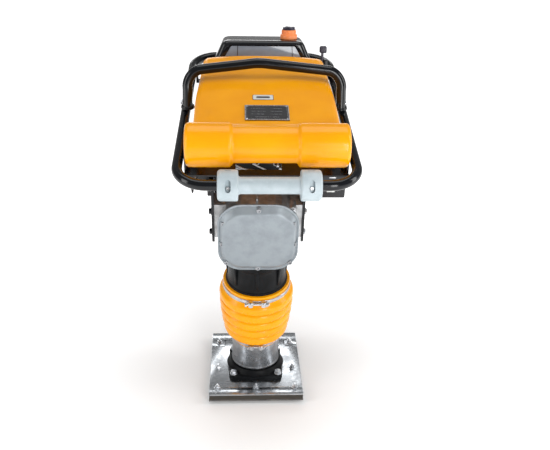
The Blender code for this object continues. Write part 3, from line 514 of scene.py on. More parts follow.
def bolt(shape, at, across, surface="zinc", washer=True, stud=0.0, height=None):
    """A hex head with a chamfered crown, on a washer; its seat is at the place's origin."""
    base = 0.0
    height = height or across * 0.62
    if washer:
        shape.add(lathe([(0, 0), (across * 0.66, 0), (across * 0.7, across * 0.03),
                         (across * 0.7, across * 0.12), (across * 0.66, across * 0.15),
                         (0, across * 0.15)], 28), surface, at)
        base = across * 0.15
    head = prism(hexagon(across), base, base + height, across * 0.035)
    shape.add(head, surface, at)
    crown = across * 0.44
    top = base + height
    shape.add(lathe([(0, top - 0.0002), (crown, top - 0.0002), (crown * 0.97, top + across * 0.035),
                     (crown * 0.8, top + across * 0.055), (0, top + across * 0.055)], 28),
              surface, at)
    if stud:
        shape.add(lathe([(0, top), (across * 0.27, top), (across * 0.27, top + stud * 0.85),
                         (across * 0.21, top + stud), (0, top + stud)], 20), surface, at)


def socket_screw(shape, at, radius, surface="zinc", height=None):
    """A round head with a hex socket; its seat is at the place's origin."""
    height = height or radius
    inner = radius * 0.52
    shape.add(lathe([(0, 0), (radius, 0), (radius, height * 0.85), (radius * 0.88, height),
                     (inner, height), (inner, height * 0.45), (0, height * 0.45)], 24),
              surface, at)


# ---------------------------------------------------------------- foot
def make_shoe_deck():
    """Deck made of a main plate, front and rear bars and two clip plates, with its bolts."""
    low, top = 0.0303, 0.034
    half = 0.1425
    deck = Shape()
    deck.add(prism(rounded([(-half, -0.1725), (half, -0.1725), (half, -0.1402),
                            (-half, -0.1402)], 0.003), low, top, 0.0009), "deck")
    step = [(-half, -0.1376), (half, -0.1376), (half, 0.0866), (0.0985, 0.0866),
            (0.0985, 0.1262), (-0.0985, 0.1262), (-0.0985, 0.0866), (-half, 0.0866)]
    deck.add(prism(rounded(step, 0.002, 2), low, top, 0.0008), "deck")
    for side in (-1, 1):
        clip = [(side * 0.1005, 0.089), (side * half, 0.089), (side * half, 0.1262),
                (side * 0.1005, 0.1262)]
        deck.add(prism(rounded(clip[::side], 0.002, 2), low, top, 0.0008), "deck")
    deck.add(prism(rounded([(-half, 0.1288), (half, 0.1288), (half, 0.1722),
                            (-half, 0.1722)], 0.003), low, top, 0.0009), "deck")
    deck.finish("deck_plates", "bright_steel", "foot", ["shoe_deck_plate"])

    bolts = Shape()
    spots = [(side * 0.118, y) for side in (-1, 1) for y in (0.113, -0.034, -0.14)]
    for x, y in spots + [(0.0, -0.14)]:
        bolt(bolts, moved(x, y, top + 0.0001, ("Z", 17)), 0.0135, stud=0.0065, height=0.0065)
    bolts.finish("deck_bolts", "bright_steel", "foot")


def make_flange():
    """Cast flange with spot-faced corners and a filleted boss, and its four bolts."""
    centre_y, half = -0.018, 0.0825
    flange = Shape()
    corners = [(-half, centre_y - half), (half, centre_y - half), (half, centre_y + half),
               (-half, centre_y + half)]
    flange.add(prism(rounded(corners, 0.02, 8), 0.0344, 0.048, 0.0028, 3), "cast_black")
    boss = [(0.074, 0.046), (0.09, 0.046), (0.0868, 0.0492), (0.0832, 0.053),
            (0.0805, 0.0575), (0.0788, 0.0604), (0.077, 0.0615), (0.074, 0.0615)]
    flange.add(lathe(boss, 96, True), "cast_black", moved(0, -0.012, 0))
    reach = 0.0688
    bolts = Shape()
    for number, (x, y) in enumerate(((-reach, -reach), (reach, -reach), (-reach, reach),
                                     (reach, reach))):
        pad = lathe([(0, 0.047), (0.0168, 0.047), (0.016, 0.0488), (0.015, 0.0492),
                     (0, 0.0492)], 40)
        flange.add(pad, "cast_black", moved(x * 0.97, centre_y + y * 0.97, 0))
        bolt(bolts, moved(x, centre_y + y, 0.0493, ("Z", 11 + 23 * number)), 0.0165,
             stud=0.003, height=0.0085)
    flange.finish("flange_casting", "black_casting", "foot", ["foot_flange"])
    bolts.finish("flange_bolts", "bright_steel", "foot",
                 [f"flange_bolt_{k}" for k in (1, 2, 3, 4)])


def make_leg_tube():
    """Leg cylinder standing in the boss, its foot cut level and rounded over."""
    base = 0.0622
    slope = tan(radians(12))
    rings = []

    def row(radius, height, lift=None):
        ring = []
        for k in range(96):
            angle = 2 * pi * k / 96
            x, r = radius * cos(angle), radius * sin(angle)
            if lift is not None:     # height above the level seat
                height = (base + lift - 0.062) / cos(radians(12)) - r * slope
            ring.append((x, r, height))
        rings.append(ring)

    for radius, lift in ((0.05, 0), (0.07, 0), (0.0722, 0.0006), (0.074, 0.0024),
                         (0.0744, 0.0045), (0.0742, 0.0085), (0.0733, 0.01),
                         (0.073, 0.0112)):
        row(radius, 0, lift)
    for radius, height in ((0.073, 0.08), (0.073, 0.303), (0.071, 0.305), (0.064, 0.305),
                           (0.064, 0.026), (0.05, 0.026)):
        row(radius, height)
    leg = Shape(LEAN)
    leg.add(loft(rings), "leg")
    leg.finish("leg_tube", "cast_aluminium", "foot", ["leg_cylinder"], 40)


def wrap_clamp(name, radius, low, high, body, node, bolt_half, bolt_radius):
    """Band clamp with rolled rims, trunnion loops and a T-bolt at the front."""
    clamp = Shape(LEAN)
    thick = 0.0016
    band = rounded([(radius, low), (radius + thick, low), (radius + thick, high),
                    (radius, high)], 0.0005, 2)
    clamp.add(lathe(band, 96, True), "band")
    for edge in (low + 0.0012, high - 0.0012):
        bead = arc((radius + thick, edge), 0.0008, 0, 300, 5)
        clamp.add(lathe(bead, 96, True), "band")
    middle = (low + high) / 2
    reach = -(radius + thick + 0.0058)
    for side in (-1, 1):
        at = moved(side * bolt_half * 0.52, reach, middle)
        tall = (high - low) * 0.62
        clamp.add(lathe([(0, -tall), (0.0062, -tall), (0.0066, -tall + 0.0005),
                         (0.0066, tall - 0.0005), (0.0062, tall), (0, tall)], 28), "zinc", at)
        loop = []
        for angle in range(20, 341, 16):
            a = radians(angle + 90)
            loop.append((0.0078 * cos(a), 0.0078 * sin(a)))
        inner = [(x * 0.86, y * 0.86) for x, y in reversed(loop)]
        clamp.add(prism(loop + inner, -(high - low) / 2, (high - low) / 2, 0.0003, 1), "band",
                  at)
    shaft = lathe([(0, -bolt_half), (bolt_radius, -bolt_half), (bolt_radius, bolt_half - 0.001),
                   (bolt_radius - 0.001, bolt_half), (0, bolt_half)], 20)
    clamp.add(shaft, "zinc", moved(0, reach, middle, ("Y", 90)))
    for k in range(9):               # thread crests on the free end
        along = bolt_half * (0.6 + 0.042 * k)
        clamp.add(lathe([(bolt_radius * 0.8, -0.0006), (bolt_radius * 1.12, 0),
                         (bolt_radius * 0.8, 0.0006)], 16, True), "zinc",
                  moved(along, reach, middle, ("Y", 90)))
    clamp.add(prism(hexagon(bolt_radius * 3.3), 0, bolt_radius * 1.7, 0.0004), "zinc",
              moved(bolt_half * 0.7, reach, middle, ("Y", 90)))
    clamp.add(prism(hexagon(bolt_radius * 3.1), 0, bolt_radius * 1.4, 0.0004), "zinc",
              moved(-bolt_half * 1.0, reach, middle, ("Y", 90)))
    bridge = [(radius + 0.0021) * Vector((sin(a), -cos(a)))
              for a in (radians(v) for v in range(-17, 18, 2))]
    outer = [p * (1 + 0.0012 / radius) for p in reversed(bridge)]
    clamp.add(prism([tuple(p) for p in bridge + outer], low + 0.001, high - 0.001, 0.0003, 1),
              "band")
    clamp.finish(name, "bright_steel", body, [node])


def make_clamps():
    wrap_clamp("lower_band", 0.0784, 0.12, 0.132, "foot", "lower_bellows_clamp", 0.027, 0.0034)
    wrap_clamp("upper_band", 0.0969, 0.3075, 0.3205, "power_unit", "upper_bellows_clamp", 0.035,
               0.0038)


def make_bellows():
    """Five rounded folds with sharp creases between them, seated at both ends."""
    top, bottom, folds = 0.2995, 0.14, 5
    pitch = (top - bottom) / folds
    outer = [(0.0945, 0.3316), (0.0972, 0.331), (0.0982, 0.3285), (0.0978, 0.3235),
             (0.0965, 0.3215), (0.0965, 0.307), (0.0985, 0.305), (0.099, 0.301)]
    for fold in range(folds):
        share = fold / (folds - 1)
        crest = 0.1098 - 0.012 * share ** 2
        valley = 0.101 - 0.012 * share
        above = 0.0992 if fold == 0 else 0.101 - 0.012 * (fold - 1) / (folds - 1)
        steps = 12
        for step in range(1, steps + 1):
            u = step / steps
            base = above + (valley - above) * u
            swell = sqrt(max(0.0, 1 - (2 * u - 1) ** 2))
            outer.append((base + (crest - base) * swell, top - (fold + u) * pitch))
    outer[-1] = (0.0835, bottom)
    outer += [(0.079, 0.1375), (0.0779, 0.134), (0.0779, 0.1165), (0.0772, 0.1145)]
    inner = [(0.0734, 0.1145), (0.0734, 0.138)]
    for radius, height in ((0.083, 0.15), (0.09, 0.18), (0.0935, 0.215), (0.0945, 0.26),
                           (0.0945, 0.3)):
        inner.append((radius, height))
    inner += [(0.0903, 0.303), (0.0903, 0.3316)]
    shape = Shape(LEAN)
    shape.add(lathe(outer + inner, 112, True), "bellows")
    made = shape.finish("bellows_skin", "yellow_rubber", None, ["bellows"], 50)
    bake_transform(made)


def make_springs():
    """Closed-and-ground coil springs inside the leg."""
    for where, low, high in (("lower", 0.0318, 0.1377), ("upper", 0.1723, 0.2747)):
        turns, per_turn = 4, 28
        count = turns * per_turn
        path = []
        for k in range(count + 1):
            angle = 2 * pi * k / per_turn
            path.append((0.05 * cos(angle), 0.05 * sin(angle),
                         low + (high - low) * k / count))
        coil = Shape(LEAN)
        coil.add(pipe(path, 0.006, 14), "dark_steel")
        made = coil.finish(f"{where}_coil", "dark_steel", None, [f"{where}_spring"])
        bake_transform(made)


# ---------------------------------------------------------------- crankcase end
def squircle(width, height, corner, bulge=0.004, steps=9):
    """A rounded rectangle whose sides bow outwards."""
    points = []
    half_w, half_h = width / 2 - corner, height / 2 - corner
    for turn, centre in enumerate(((half_w, half_h), (-half_w, half_h), (-half_w, -half_h),
                                   (half_w, -half_h))):
        points += arc(centre, corner, 90 * turn, 90 * turn + 90, steps)
    out = []
    for x, y in points:
        longer, shorter = max(abs(x), abs(y)), min(abs(x), abs(y))
        stretch = 1 + bulge * (1 - shorter / longer) / longer
        out.append((x * stretch, y * stretch))
    return out


def make_guide():
    """Guide cylinder: turned body, ribs under its flange and radial screws."""
    guide = Shape(LEAN)
    profile = [(0.0738, 0.225), (0.08, 0.225), (0.081, 0.227), (0.081, 0.302),
               (0.089, 0.308), (0.09, 0.311), (0.09, 0.334), (0.089, 0.3372),
               (0.0866, 0.339), (0.0848, 0.344), (0.0842, 0.352), (0.084, 0.4),
               (0.0852, 0.4085), (0.0885, 0.414), (0.0925, 0.417), (0.0938, 0.4195),
               (0.093, 0.437), (0.092, 0.43795), (0.0738, 0.43795)]
    guide.add(lathe(profile, 112, True), "cast_black")
    for angle in range(0, 360, 45):
        rib = rounded([(0.082, 0.348), (0.0862, 0.348), (0.0925, 0.419), (0.082, 0.419)],
                      0.002, 2)
        guide.add(prism(rib, -0.0042, 0.0042, 0.0012), "cast_black",
                  about_z(angle - 90) @ moved(0, 0, 0, ("X", 90)))
    guide.finish("guide_casting", "black_casting", "power_unit", ["guide_cylinder"])
    screws = Shape(LEAN)
    for angle in (-142, -38, 38, 142):
        at = about_z(angle - 90) @ moved(0.0925, 0, 0.424,
                                                                     ("Y", 90))
        socket_screw(screws, at, 0.0052, "zinc", 0.0035)
    screws.finish("guide_screws", "bright_steel", "power_unit")


COVER_BOLTS = [(0, 0.6325)] + [(side * x, t) for x, t in ((0.0905, 0.5915), (0.0953, 0.526),
                                                         (0.0862, 0.464))
                               for side in (-1, 1)] + [(0, 0.445)]


def make_cover():
    """Cover with a double rim, a sloped shoulder, a flat pane and eight screwed bosses."""
    rows = [(-0.0905, 0.0006, 0.0006), (-0.0912, 0, 0), (-0.0948, 0, 0),
            (-0.0958, 0.0008, 0.0008), (-0.096, 0.0016, 0.0016), (-0.096, 0.0038, 0.0038),
            (-0.0953, 0.0044, 0.0044), (-0.0951, 0.0056, 0.0058), (-0.0962, 0.0066, 0.007),
            (-0.0988, 0.0084, 0.0106), (-0.105, 0.0122, 0.0178), (-0.108, 0.0142, 0.0214),
            (-0.1093, 0.0156, 0.0236), (-0.1098, 0.0172, 0.0256), (-0.11, 0.019, 0.0276)]
    rings = []
    for r, across, up in rows:
        corner = max(0.03, 0.06 - 0.35 * (across + up))
        loop = squircle(COVER_WIDTH - 2 * across, COVER_HEIGHT - 2 * up, corner,
                        0.004 + across * 0.15)
        rings.append([(x, r, COVER_CENTRE + t) for x, t in loop])
    cover = Shape(LEAN)
    cover.add(loft(rings), "cover")
    for x, t in COVER_BOLTS:
        boss = lathe([(0, -0.003), (0.0092, -0.003), (0.0088, 0.001),
                      (0.008, 0.0072), (0.0073, 0.008), (0, 0.008)], 32)
        cover.add(boss, "cover", facing(x, -0.0935, t))
    cover.finish("cover_pressing", "cover_aluminium", "power_unit", ["crankcase_cover"], 28)
    bolts = Shape(LEAN)
    for index, (x, t) in enumerate(COVER_BOLTS):
        at = facing(x, -0.1016, t) @ Matrix.Rotation(0.4 * index, 4, "Z")
        socket_screw(bolts, at, 0.0064, "leg", 0.0048)
    bolts.finish("cover_bolts", "bright_steel", "power_unit")


# A prism placed by this has its loop in (r, t) and its height across.
UPRIGHT = Matrix(((0, 0, 1, 0), (1, 0, 0, 0), (0, 1, 0, 0), (0, 0, 0, 1)))


def make_case_details():
    """Filler boss and top rib of the crankcase, and the side brackets with their bolts."""
    parts = Shape(LEAN)
    parts.add(lathe([(0, -0.03), (0.0105, -0.03), (0.0105, 0.008), (0.0098, 0.0095),
                     (0, 0.0095)], 40), "cast", facing(0.09, -0.07, 0.617))
    parts.add(prism(hexagon(0.014), 0, 0.006, 0.0006), "zinc", facing(0.09, -0.0795, 0.617))
    parts.add(prism(rounded([(-0.0025, 0), (0.0025, 0), (0.002, 0.01), (-0.002, 0.01)],
                            0.001, 2), 0.0, 0.12, 0.001), "cast",
              facing(-0.004, 0.04, 0.642))
    parts.finish("case_fittings", "cast_aluminium", "power_unit")
    bolts = Shape(LEAN)
    for side in (-1, 1):
        for t in (0.516, 0.582):
            at = moved(side * 0.1236, -0.03, t, ("Y", 90 * side), ("Z", 12))
            bolt(bolts, at, 0.015, "black" if side < 0 else "zinc", height=0.0055)
    bolts.finish("bracket_bolts", "dark_steel", "power_unit")
    for label, side in (("left", -1), ("right", 1)):
        plate = Shape(LEAN)
        outline = rounded([(-0.065, 0.6895), (-0.065, 0.51), (-0.056, 0.498), (0.02, 0.498),
                           (0.045, 0.535), (0.045, 0.6895)], 0.008, 5)
        faces = sorted((side * 0.1165, side * 0.1233))
        plate.add(prism(outline, *faces, 0.001), "black", UPRIGHT)
        plate.add(box((0.046, 0.11, 0.0068), 0.0012, 2), "black",
                  moved(side * 0.1395, -0.01, 0.6864))
        plate.finish(f"{label}_bracket_plate", "black_paint", "power_unit",
                     [f"{label}_bracket"], 40)


# ---------------------------------------------------------------- handle
FRONT_R, FRONT_T = -0.150, 0.738      # middle of the handle tube's front run
REAR_R, REAR_T = 0.552, 0.788         # and of its rear run
FRONT_HALF, REAR_HALF = 0.226, 0.214
FRONT_BEND, REAR_BEND = 0.076, 0.08
HANDLE_RADIUS = 0.0135
HOOP_X, HOOP_R, HOOP_RADIUS = 0.2135, 0.198, 0.0138


def handle_height(r):
    return FRONT_T + (r - FRONT_R) * (REAR_T - FRONT_T) / (REAR_R - FRONT_R)


def make_handle():
    """Bent handle tube, bolted lifting hoop and the welds and bolts that join them."""
    first, last = FRONT_R + FRONT_BEND, REAR_R - REAR_BEND
    half = arc((FRONT_HALF - FRONT_BEND, first), FRONT_BEND, -90, 0, 26)
    for share in (k / 10 for k in range(1, 10)):
        half.append((FRONT_HALF + (REAR_HALF - FRONT_HALF) * share, first + (last - first) * share))
    half += arc((REAR_HALF - REAR_BEND, last), REAR_BEND, 0, 90, 26)
    loop = half + [(-x, r) for x, r in reversed(half)]
    frame_tube = Shape(HANDLE)
    frame_tube.add(closed_pipe([Vector((x, r, handle_height(r))) for x, r in loop],
                               HANDLE_RADIUS, 32), "black")
    frame_tube.finish("handle_tube", "black_paint", "handle", ["handle_frame"], 60)

    foot_t = handle_height(HOOP_R) + HANDLE_RADIUS + 0.0143
    flat = [(HOOP_X, foot_t - 0.0095), (HOOP_X, 0.805), (0.2128, 0.826)]
    flat += arc((0.1655, 0.832), 0.048, 4, 75, 12)
    end = flat[-1]
    side_line = [(end[0] + (-0.0165 - end[0]) * k / 8, end[1] + (0.899 - end[1]) * k / 8)
                 for k in range(1, 8)]
    other = [(-x, t) for x, t in reversed(flat)]
    back = [(-0.0165 + (other[0][0] + 0.0165) * k / 8, 0.899 + (other[0][1] - 0.899) * k / 8)
            for k in range(1, 8)]
    apex = [(-0.034, 0.897), (-0.0255, 0.8978), (-0.0165, 0.898), (-0.007, 0.8978),
            (0.003, 0.897)]
    line = flat + [p for p in side_line if p[0] > 0.006]
    line += apex[::-1] + [p for p in back if p[0] < -0.037] + other
    route = [Vector((x, min(0.224, HOOP_R + 0.026 * (t - foot_t) / 0.09), t)) for x, t in line]
    hoop = Shape(HANDLE)
    hoop.add(pipe(route, HOOP_RADIUS, 32), "black")
    hoop.finish("hoop_tube", "black_paint", "handle", ["lifting_hoop"], 60)

    joints = Shape(HANDLE)
    for side in (-1, 1):
        x = side * HOOP_X
        for lift, radius in ((0.0005, 0.016), (0.0042, 0.015)):
            joints.add(bead(radius, 0, 0.0032, 40), "black",
                       moved(x, HOOP_R, foot_t - 0.0125 + lift))
        bolt(joints, moved(x + side * 0.0128, 0.201, 0.792, ("Y", 90 * side)), 0.0125, "zinc",
             height=0.006)
        for inner, r in ((0.2055, 0.058), (0.2062, 0.0)):
            bolt(joints, moved(side * inner, r, handle_height(r) - 0.004, ("Y", -90 * side)),
                 0.013, "zinc", height=0.006)
    joints.finish("handle_joints", "black_paint", "handle")


def carve(made, cutter_shape):
    """Cut a shape out of a finished piece and keep its surfaces."""
    mesh = bpy.data.meshes.new("cutter")
    cutter_shape.bm.to_mesh(mesh)
    cutter_shape.bm.free()
    for surface in cutter_shape.surfaces:
        mesh.materials.append(M[surface])
    cutter = bpy.data.objects.new("cutter", mesh)
    bpy.context.scene.collection.objects.link(cutter)
    modifier = made.modifiers.new("cut", "BOOLEAN")
    modifier.operation = "DIFFERENCE"
    modifier.solver = "EXACT"
    modifier.object = cutter
    bpy.context.view_layer.update()
    seen = made.evaluated_get(bpy.context.evaluated_depsgraph_get())
    cut = bpy.data.meshes.new_from_object(seen)
    made.modifiers.clear()
    made.data = cut
    bpy.data.objects.remove(cutter)
    cut.set_sharp_from_angle(angle=radians(32))


ROLLER_X = 0.003


def make_roller():
    """Moulded roller halves with screw pockets in their drums."""
    for label, side in (("left", -1), ("right", 1)):
        end, drum, sleeve, bore = 0.1265, 0.0385, 0.0212, 0.0146
        profile = [(bore, end - 0.004), (bore + 0.0015, end - 0.0012), (0.025, end),
                   (0.03, end)]
        profile += arc((drum - 0.0085, end - 0.0085), 0.0085, 90, 0, 6)
        profile += [(drum, end - 0.046)] + arc((drum - 0.004, end - 0.0465), 0.004, 0, -90, 4)
        profile += [(sleeve + 0.0045, end - 0.051), (sleeve + 0.0014, end - 0.0522),
                    (sleeve, end - 0.056), (sleeve, 0.0001), (bore, 0.0001)]
        profile = [(radius, side * along) for radius, along in profile]
        half = Shape(HANDLE)
        at = moved(ROLLER_X, FRONT_R, FRONT_T, ("Y", 90))
        half.add(lathe(profile, 96, True), "grey", at)
        made = half.finish(f"roller_half_{label}", "grey_plastic", "roller",
                           [f"roller_{label}"], 32)
        pocket = Shape(HANDLE)
        slot_loop = arc((0, 0.0085), 0.0068, 0, 180, 12) + arc((0, -0.0085), 0.0068, 180, 360, 12)
        drum_middle = (ROLLER_X + side * 0.1005, FRONT_R, FRONT_T)
        spot = moved(*drum_middle, ("X", -27), ("X", 90))
        pocket.add(prism(slot_loop, 0.027, 0.045), "grey", spot)
        turned = moved(*drum_middle, ("X", -99), ("X", 90))
        pocket.add(prism(oblong(0.0085, 0.0022, 0.0015, 3), 0.034, 0.045), "grey",
                   turned)
        carve(made, pocket)
        screw = Shape(HANDLE)
        low = spot @ moved(0, -0.005, 0.0271)
        socket_screw(screw, low, 0.0046, "zinc", 0.004)
        screw.finish(f"roller_screw_{label}", "bright_steel", "roller")


# ---------------------------------------------------------------- hood
def ease(value, low, high):
    """Smooth step from 0 at low to 1 at high."""
    u = min(1.0, max(0.0, (value - low) / (high - low)))
    return u * u * (3 - 2 * u)


def hood_top(r):
    """Height of the hood's top along its middle."""
    if r < 0.16:
        return 0.8426 + (r + 0.028) * (0.857 - 0.8426) / 0.188
    return 0.857 + (r - 0.16) * (0.87 - 0.857) / 0.185


def crown_drop(x):
    """How far the hood's top falls below its middle at a distance across."""
    return CROWN_DROP * (abs(x) / CROWN_HALF) ** 2.5


def hood_rows():
    """Rows from the front rim to the rear rim: (kind, share of the roll, or r, or (r, t))."""
    rows = [("roll", k / 24) for k in range(25)]
    rows += [("step", r) for r in (-0.046, -0.042, -0.0385, -0.036, -0.0335, -0.031, -0.0285,
                                   -0.025)]
    rows += [("top", -0.02 + 0.365 * k / 18) for k in range(19)]
    rows += [("rear", tip) for tip in ((0.353, 0.869), (0.3605, 0.8645), (0.366, 0.8565),
                                       (0.3695, 0.846), (0.3706, 0.83), (0.3708, 0.812),
                                       (0.371, 0.7955))]
    return rows


CROWN_DROP, CROWN_HALF = 0.012, 0.188
RIM_T = 0.795
EAR_RADIUS, ROLL_RADIUS = 0.057, 0.05
BUMPS = [(-0.144, 0.021), (0.156, 0.043)]
ROLL_MIDDLE = -0.006               # the centre roll sits a little to the left


def hood_point(kind, value, x):
    """(r, t) of the hood's outer skin at a row and a distance across."""
    ear = ease(abs(x - ROLL_MIDDLE), 0.0785, 0.089)
    if kind == "roll":
        start = 222 + 59 * ear - 34 * ease(abs(x), 0.186, 0.2045)
        angle = radians(start + (90 - start) * value)
        radius = ROLL_RADIUS + (EAR_RADIUS - ROLL_RADIUS) * ear
        centre = (-0.049 + 0.001 * (1 - ear), RIM_T)
        return centre[0] + radius * cos(angle), centre[1] + radius * sin(angle)
    if kind == "step":
        flat = hood_top(value) + 0.0018 * (1 - ear) * ease(-value, 0.028, 0.046)
        over = sqrt(max(0.0, EAR_RADIUS ** 2 - (value + 0.049) ** 2)) + RIM_T
        fall = ease(value, -0.04, -0.027)
        return value, flat + ear * (1 - fall) * (over - flat)
    if kind == "top":
        height = hood_top(value)
        for bump_x, bump_r in BUMPS:
            far = hypot(x - bump_x, value - bump_r)
            height += 0.0026 * exp(-(far / 0.008) ** 2)
        return value, height
    return value


def hood_half_width(kind, value):
    if kind == "roll":
        return 0.2045
    r = value[0] if kind == "rear" else value
    body = 0.188 - 0.012 * ease(r, 0.1, 0.371)
    if kind == "step":
        return 0.2045 + (body - 0.2045) * ease(r, -0.0385, -0.0265)
    return body


def make_hood():
    """One-piece moulded hood: two barrel ears and a smaller centre roll under a crowned top."""
    inner = [0.0, 0.02, 0.04, 0.06, 0.072, 0.0775, 0.0795, 0.0815, 0.0835, 0.0855, 0.0875,
             0.09, 0.095, 0.105]
    rings = []
    for kind, value in hood_rows():
        half = hood_half_width(kind, value)
        corner = 0.012 if kind in ("roll", "step") else 0.02
        base_r = {"roll": -0.049, "rear": 0.345}.get(kind, value)
        column = []
        inside = [-x for x in inner[:0:-1]] + inner
        inside = [x + ROLL_MIDDLE for x in inside]
        edge = half - corner
        outer_left = [inside[0] + (-edge - inside[0]) * k / 9 for k in range(9, 0, -1)]
        outer_right = [inside[-1] + (edge - inside[-1]) * k / 9 for k in range(1, 10)]
        across = outer_left + inside + outer_right

        def skin(x):
            r, t = hood_point(kind, value, x)
            drop = crown_drop(x)
            share = {"roll": 0.0, "step": ease(value if kind == "step" else 0, -0.036, -0.026),
                     "top": 1.0, "rear": 1.0}[kind]
            if kind == "rear":
                share = ease(t, 0.8, 0.84)
            return r, t - drop * share

        def side(sign):
            tip = skin(sign * (half - corner))
            length = hypot(tip[0] - base_r, tip[1] - RIM_T)
            way = ((tip[0] - base_r) / length, (tip[1] - RIM_T) / length)
            out = []
            bend = min(corner, length * 0.9)
            for share in (0.0, 0.3, 0.6, 0.85):
                reach = (length - bend) * share
                out.append((sign * half, base_r + way[0] * reach, RIM_T + way[1] * reach))
            for step in range(6):
                turn = radians(90 * step / 6)
                reach = length - bend + bend * sin(turn)
                out.append((sign * (half - corner + corner * cos(turn)),
                            base_r + way[0] * reach, RIM_T + way[1] * reach))
            return out

        column += side(-1)
        column += [(x, *skin(x)) for x in across]
        column += side(1)[::-1]
        rings.append(column)
    bm = loft(rings, closed_rows=False, caps=False)
    bmesh.ops.remove_doubles(bm, verts=bm.verts, dist=0.00005)
    hood = Shape(HANDLE)
    hood.add(bm, "yellow")
    made = hood.finish("hood_moulding", "yellow_paint", None, ["hood"], 60)
    top = max(made.data.polygons, key=lambda p: p.center.z)
    if top.normal.z < 0:
        made.data.flip_normals()
    shell = made.modifiers.new("wall", "SOLIDIFY")
    shell.thickness = 0.0036
    shell.offset = -1
    smooth = made.modifiers.new("smooth", "SUBSURF")
    smooth.levels = 1
    smooth.render_levels = 1
    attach(made, "handle")


def hood_place(x, r, lift=0.0):
    """A place on the hood's top whose +Z stands off it, along the handle frame."""
    slope = degrees(atan2(hood_top(r + 0.01) - hood_top(r - 0.01), 0.02))
    drop = crown_drop(x)
    return moved(x, r, hood_top(r) - drop + lift, ("X", slope))


def make_plates():
    """Border, rivets and blank ruled fields of the nameplate, and a blank label above it."""
    trim = Shape(HANDLE)
    at = hood_place(0, 0.0215, 0.0023)
    outer = oblong(0.056, 0.0365, 0.003, 4)
    for width, inset in ((0.002, 0.0), (0.0006, 0.0042)):
        ring = [(x * (1 - inset / 0.056), y * (1 - inset / 0.0365)) for x, y in outer]
        gap = inset + width
        hole = [(x * (1 - gap / 0.056), y * (1 - gap / 0.0365)) for x, y in outer]
        rows = [[(x, y, h) for x, y in loop] for loop, h in ((ring, 0.0), (ring, 0.0004),
                                                             (hole, 0.0004), (hole, 0.0))]
        trim.add(loft(rows, caps=False, closed_way=True), "zinc", at)
    for x in (-0.051, 0.051):
        for y in (-0.031, 0.031):
            trim.add(lathe([(0, 0.0014), (0.0012, 0.0012), (0.0021, 0.0006), (0.0024, 0),
                            (0, 0)], 20), "zinc", at @ moved(x, y, 0))
    fields = [(x, y, wide) for y in (0.02, 0.006, -0.008)
              for x, wide in ((-0.022, 0.036), (0.024, 0.03))]
    for x, y, wide in fields + [(0.0, -0.022, 0.06)]:
        trim.add(box((wide, 0.0007, 0.0003), 0.0001, 1), "zinc", at @ moved(x, y, 0.0001))
    trim.finish("nameplate_trim", "bright_steel", "handle")

    label = Shape(HANDLE)
    at = hood_place(-0.008, 0.102, 0.0003)
    for half_x, half_y, radius, low, high, surface in (
            (0.0275, 0.013, 0.004, 0, 0.0004, "black_plastic"),
            (0.0262, 0.0118, 0.0035, 0.0004, 0.0006, "label"),
            (0.018, 0.0045, 0.0044, 0.0006, 0.0008, "slate")):
        label.add(prism(oblong(half_x, half_y, radius, 5), low, high), surface, at)
    label.finish("blank_label", "grey_plastic", "handle")


# ---------------------------------------------------------------- tank and controls
TANK_MIDDLE = (0.0205, 0.2605)
TANK_FRONT = 0.203


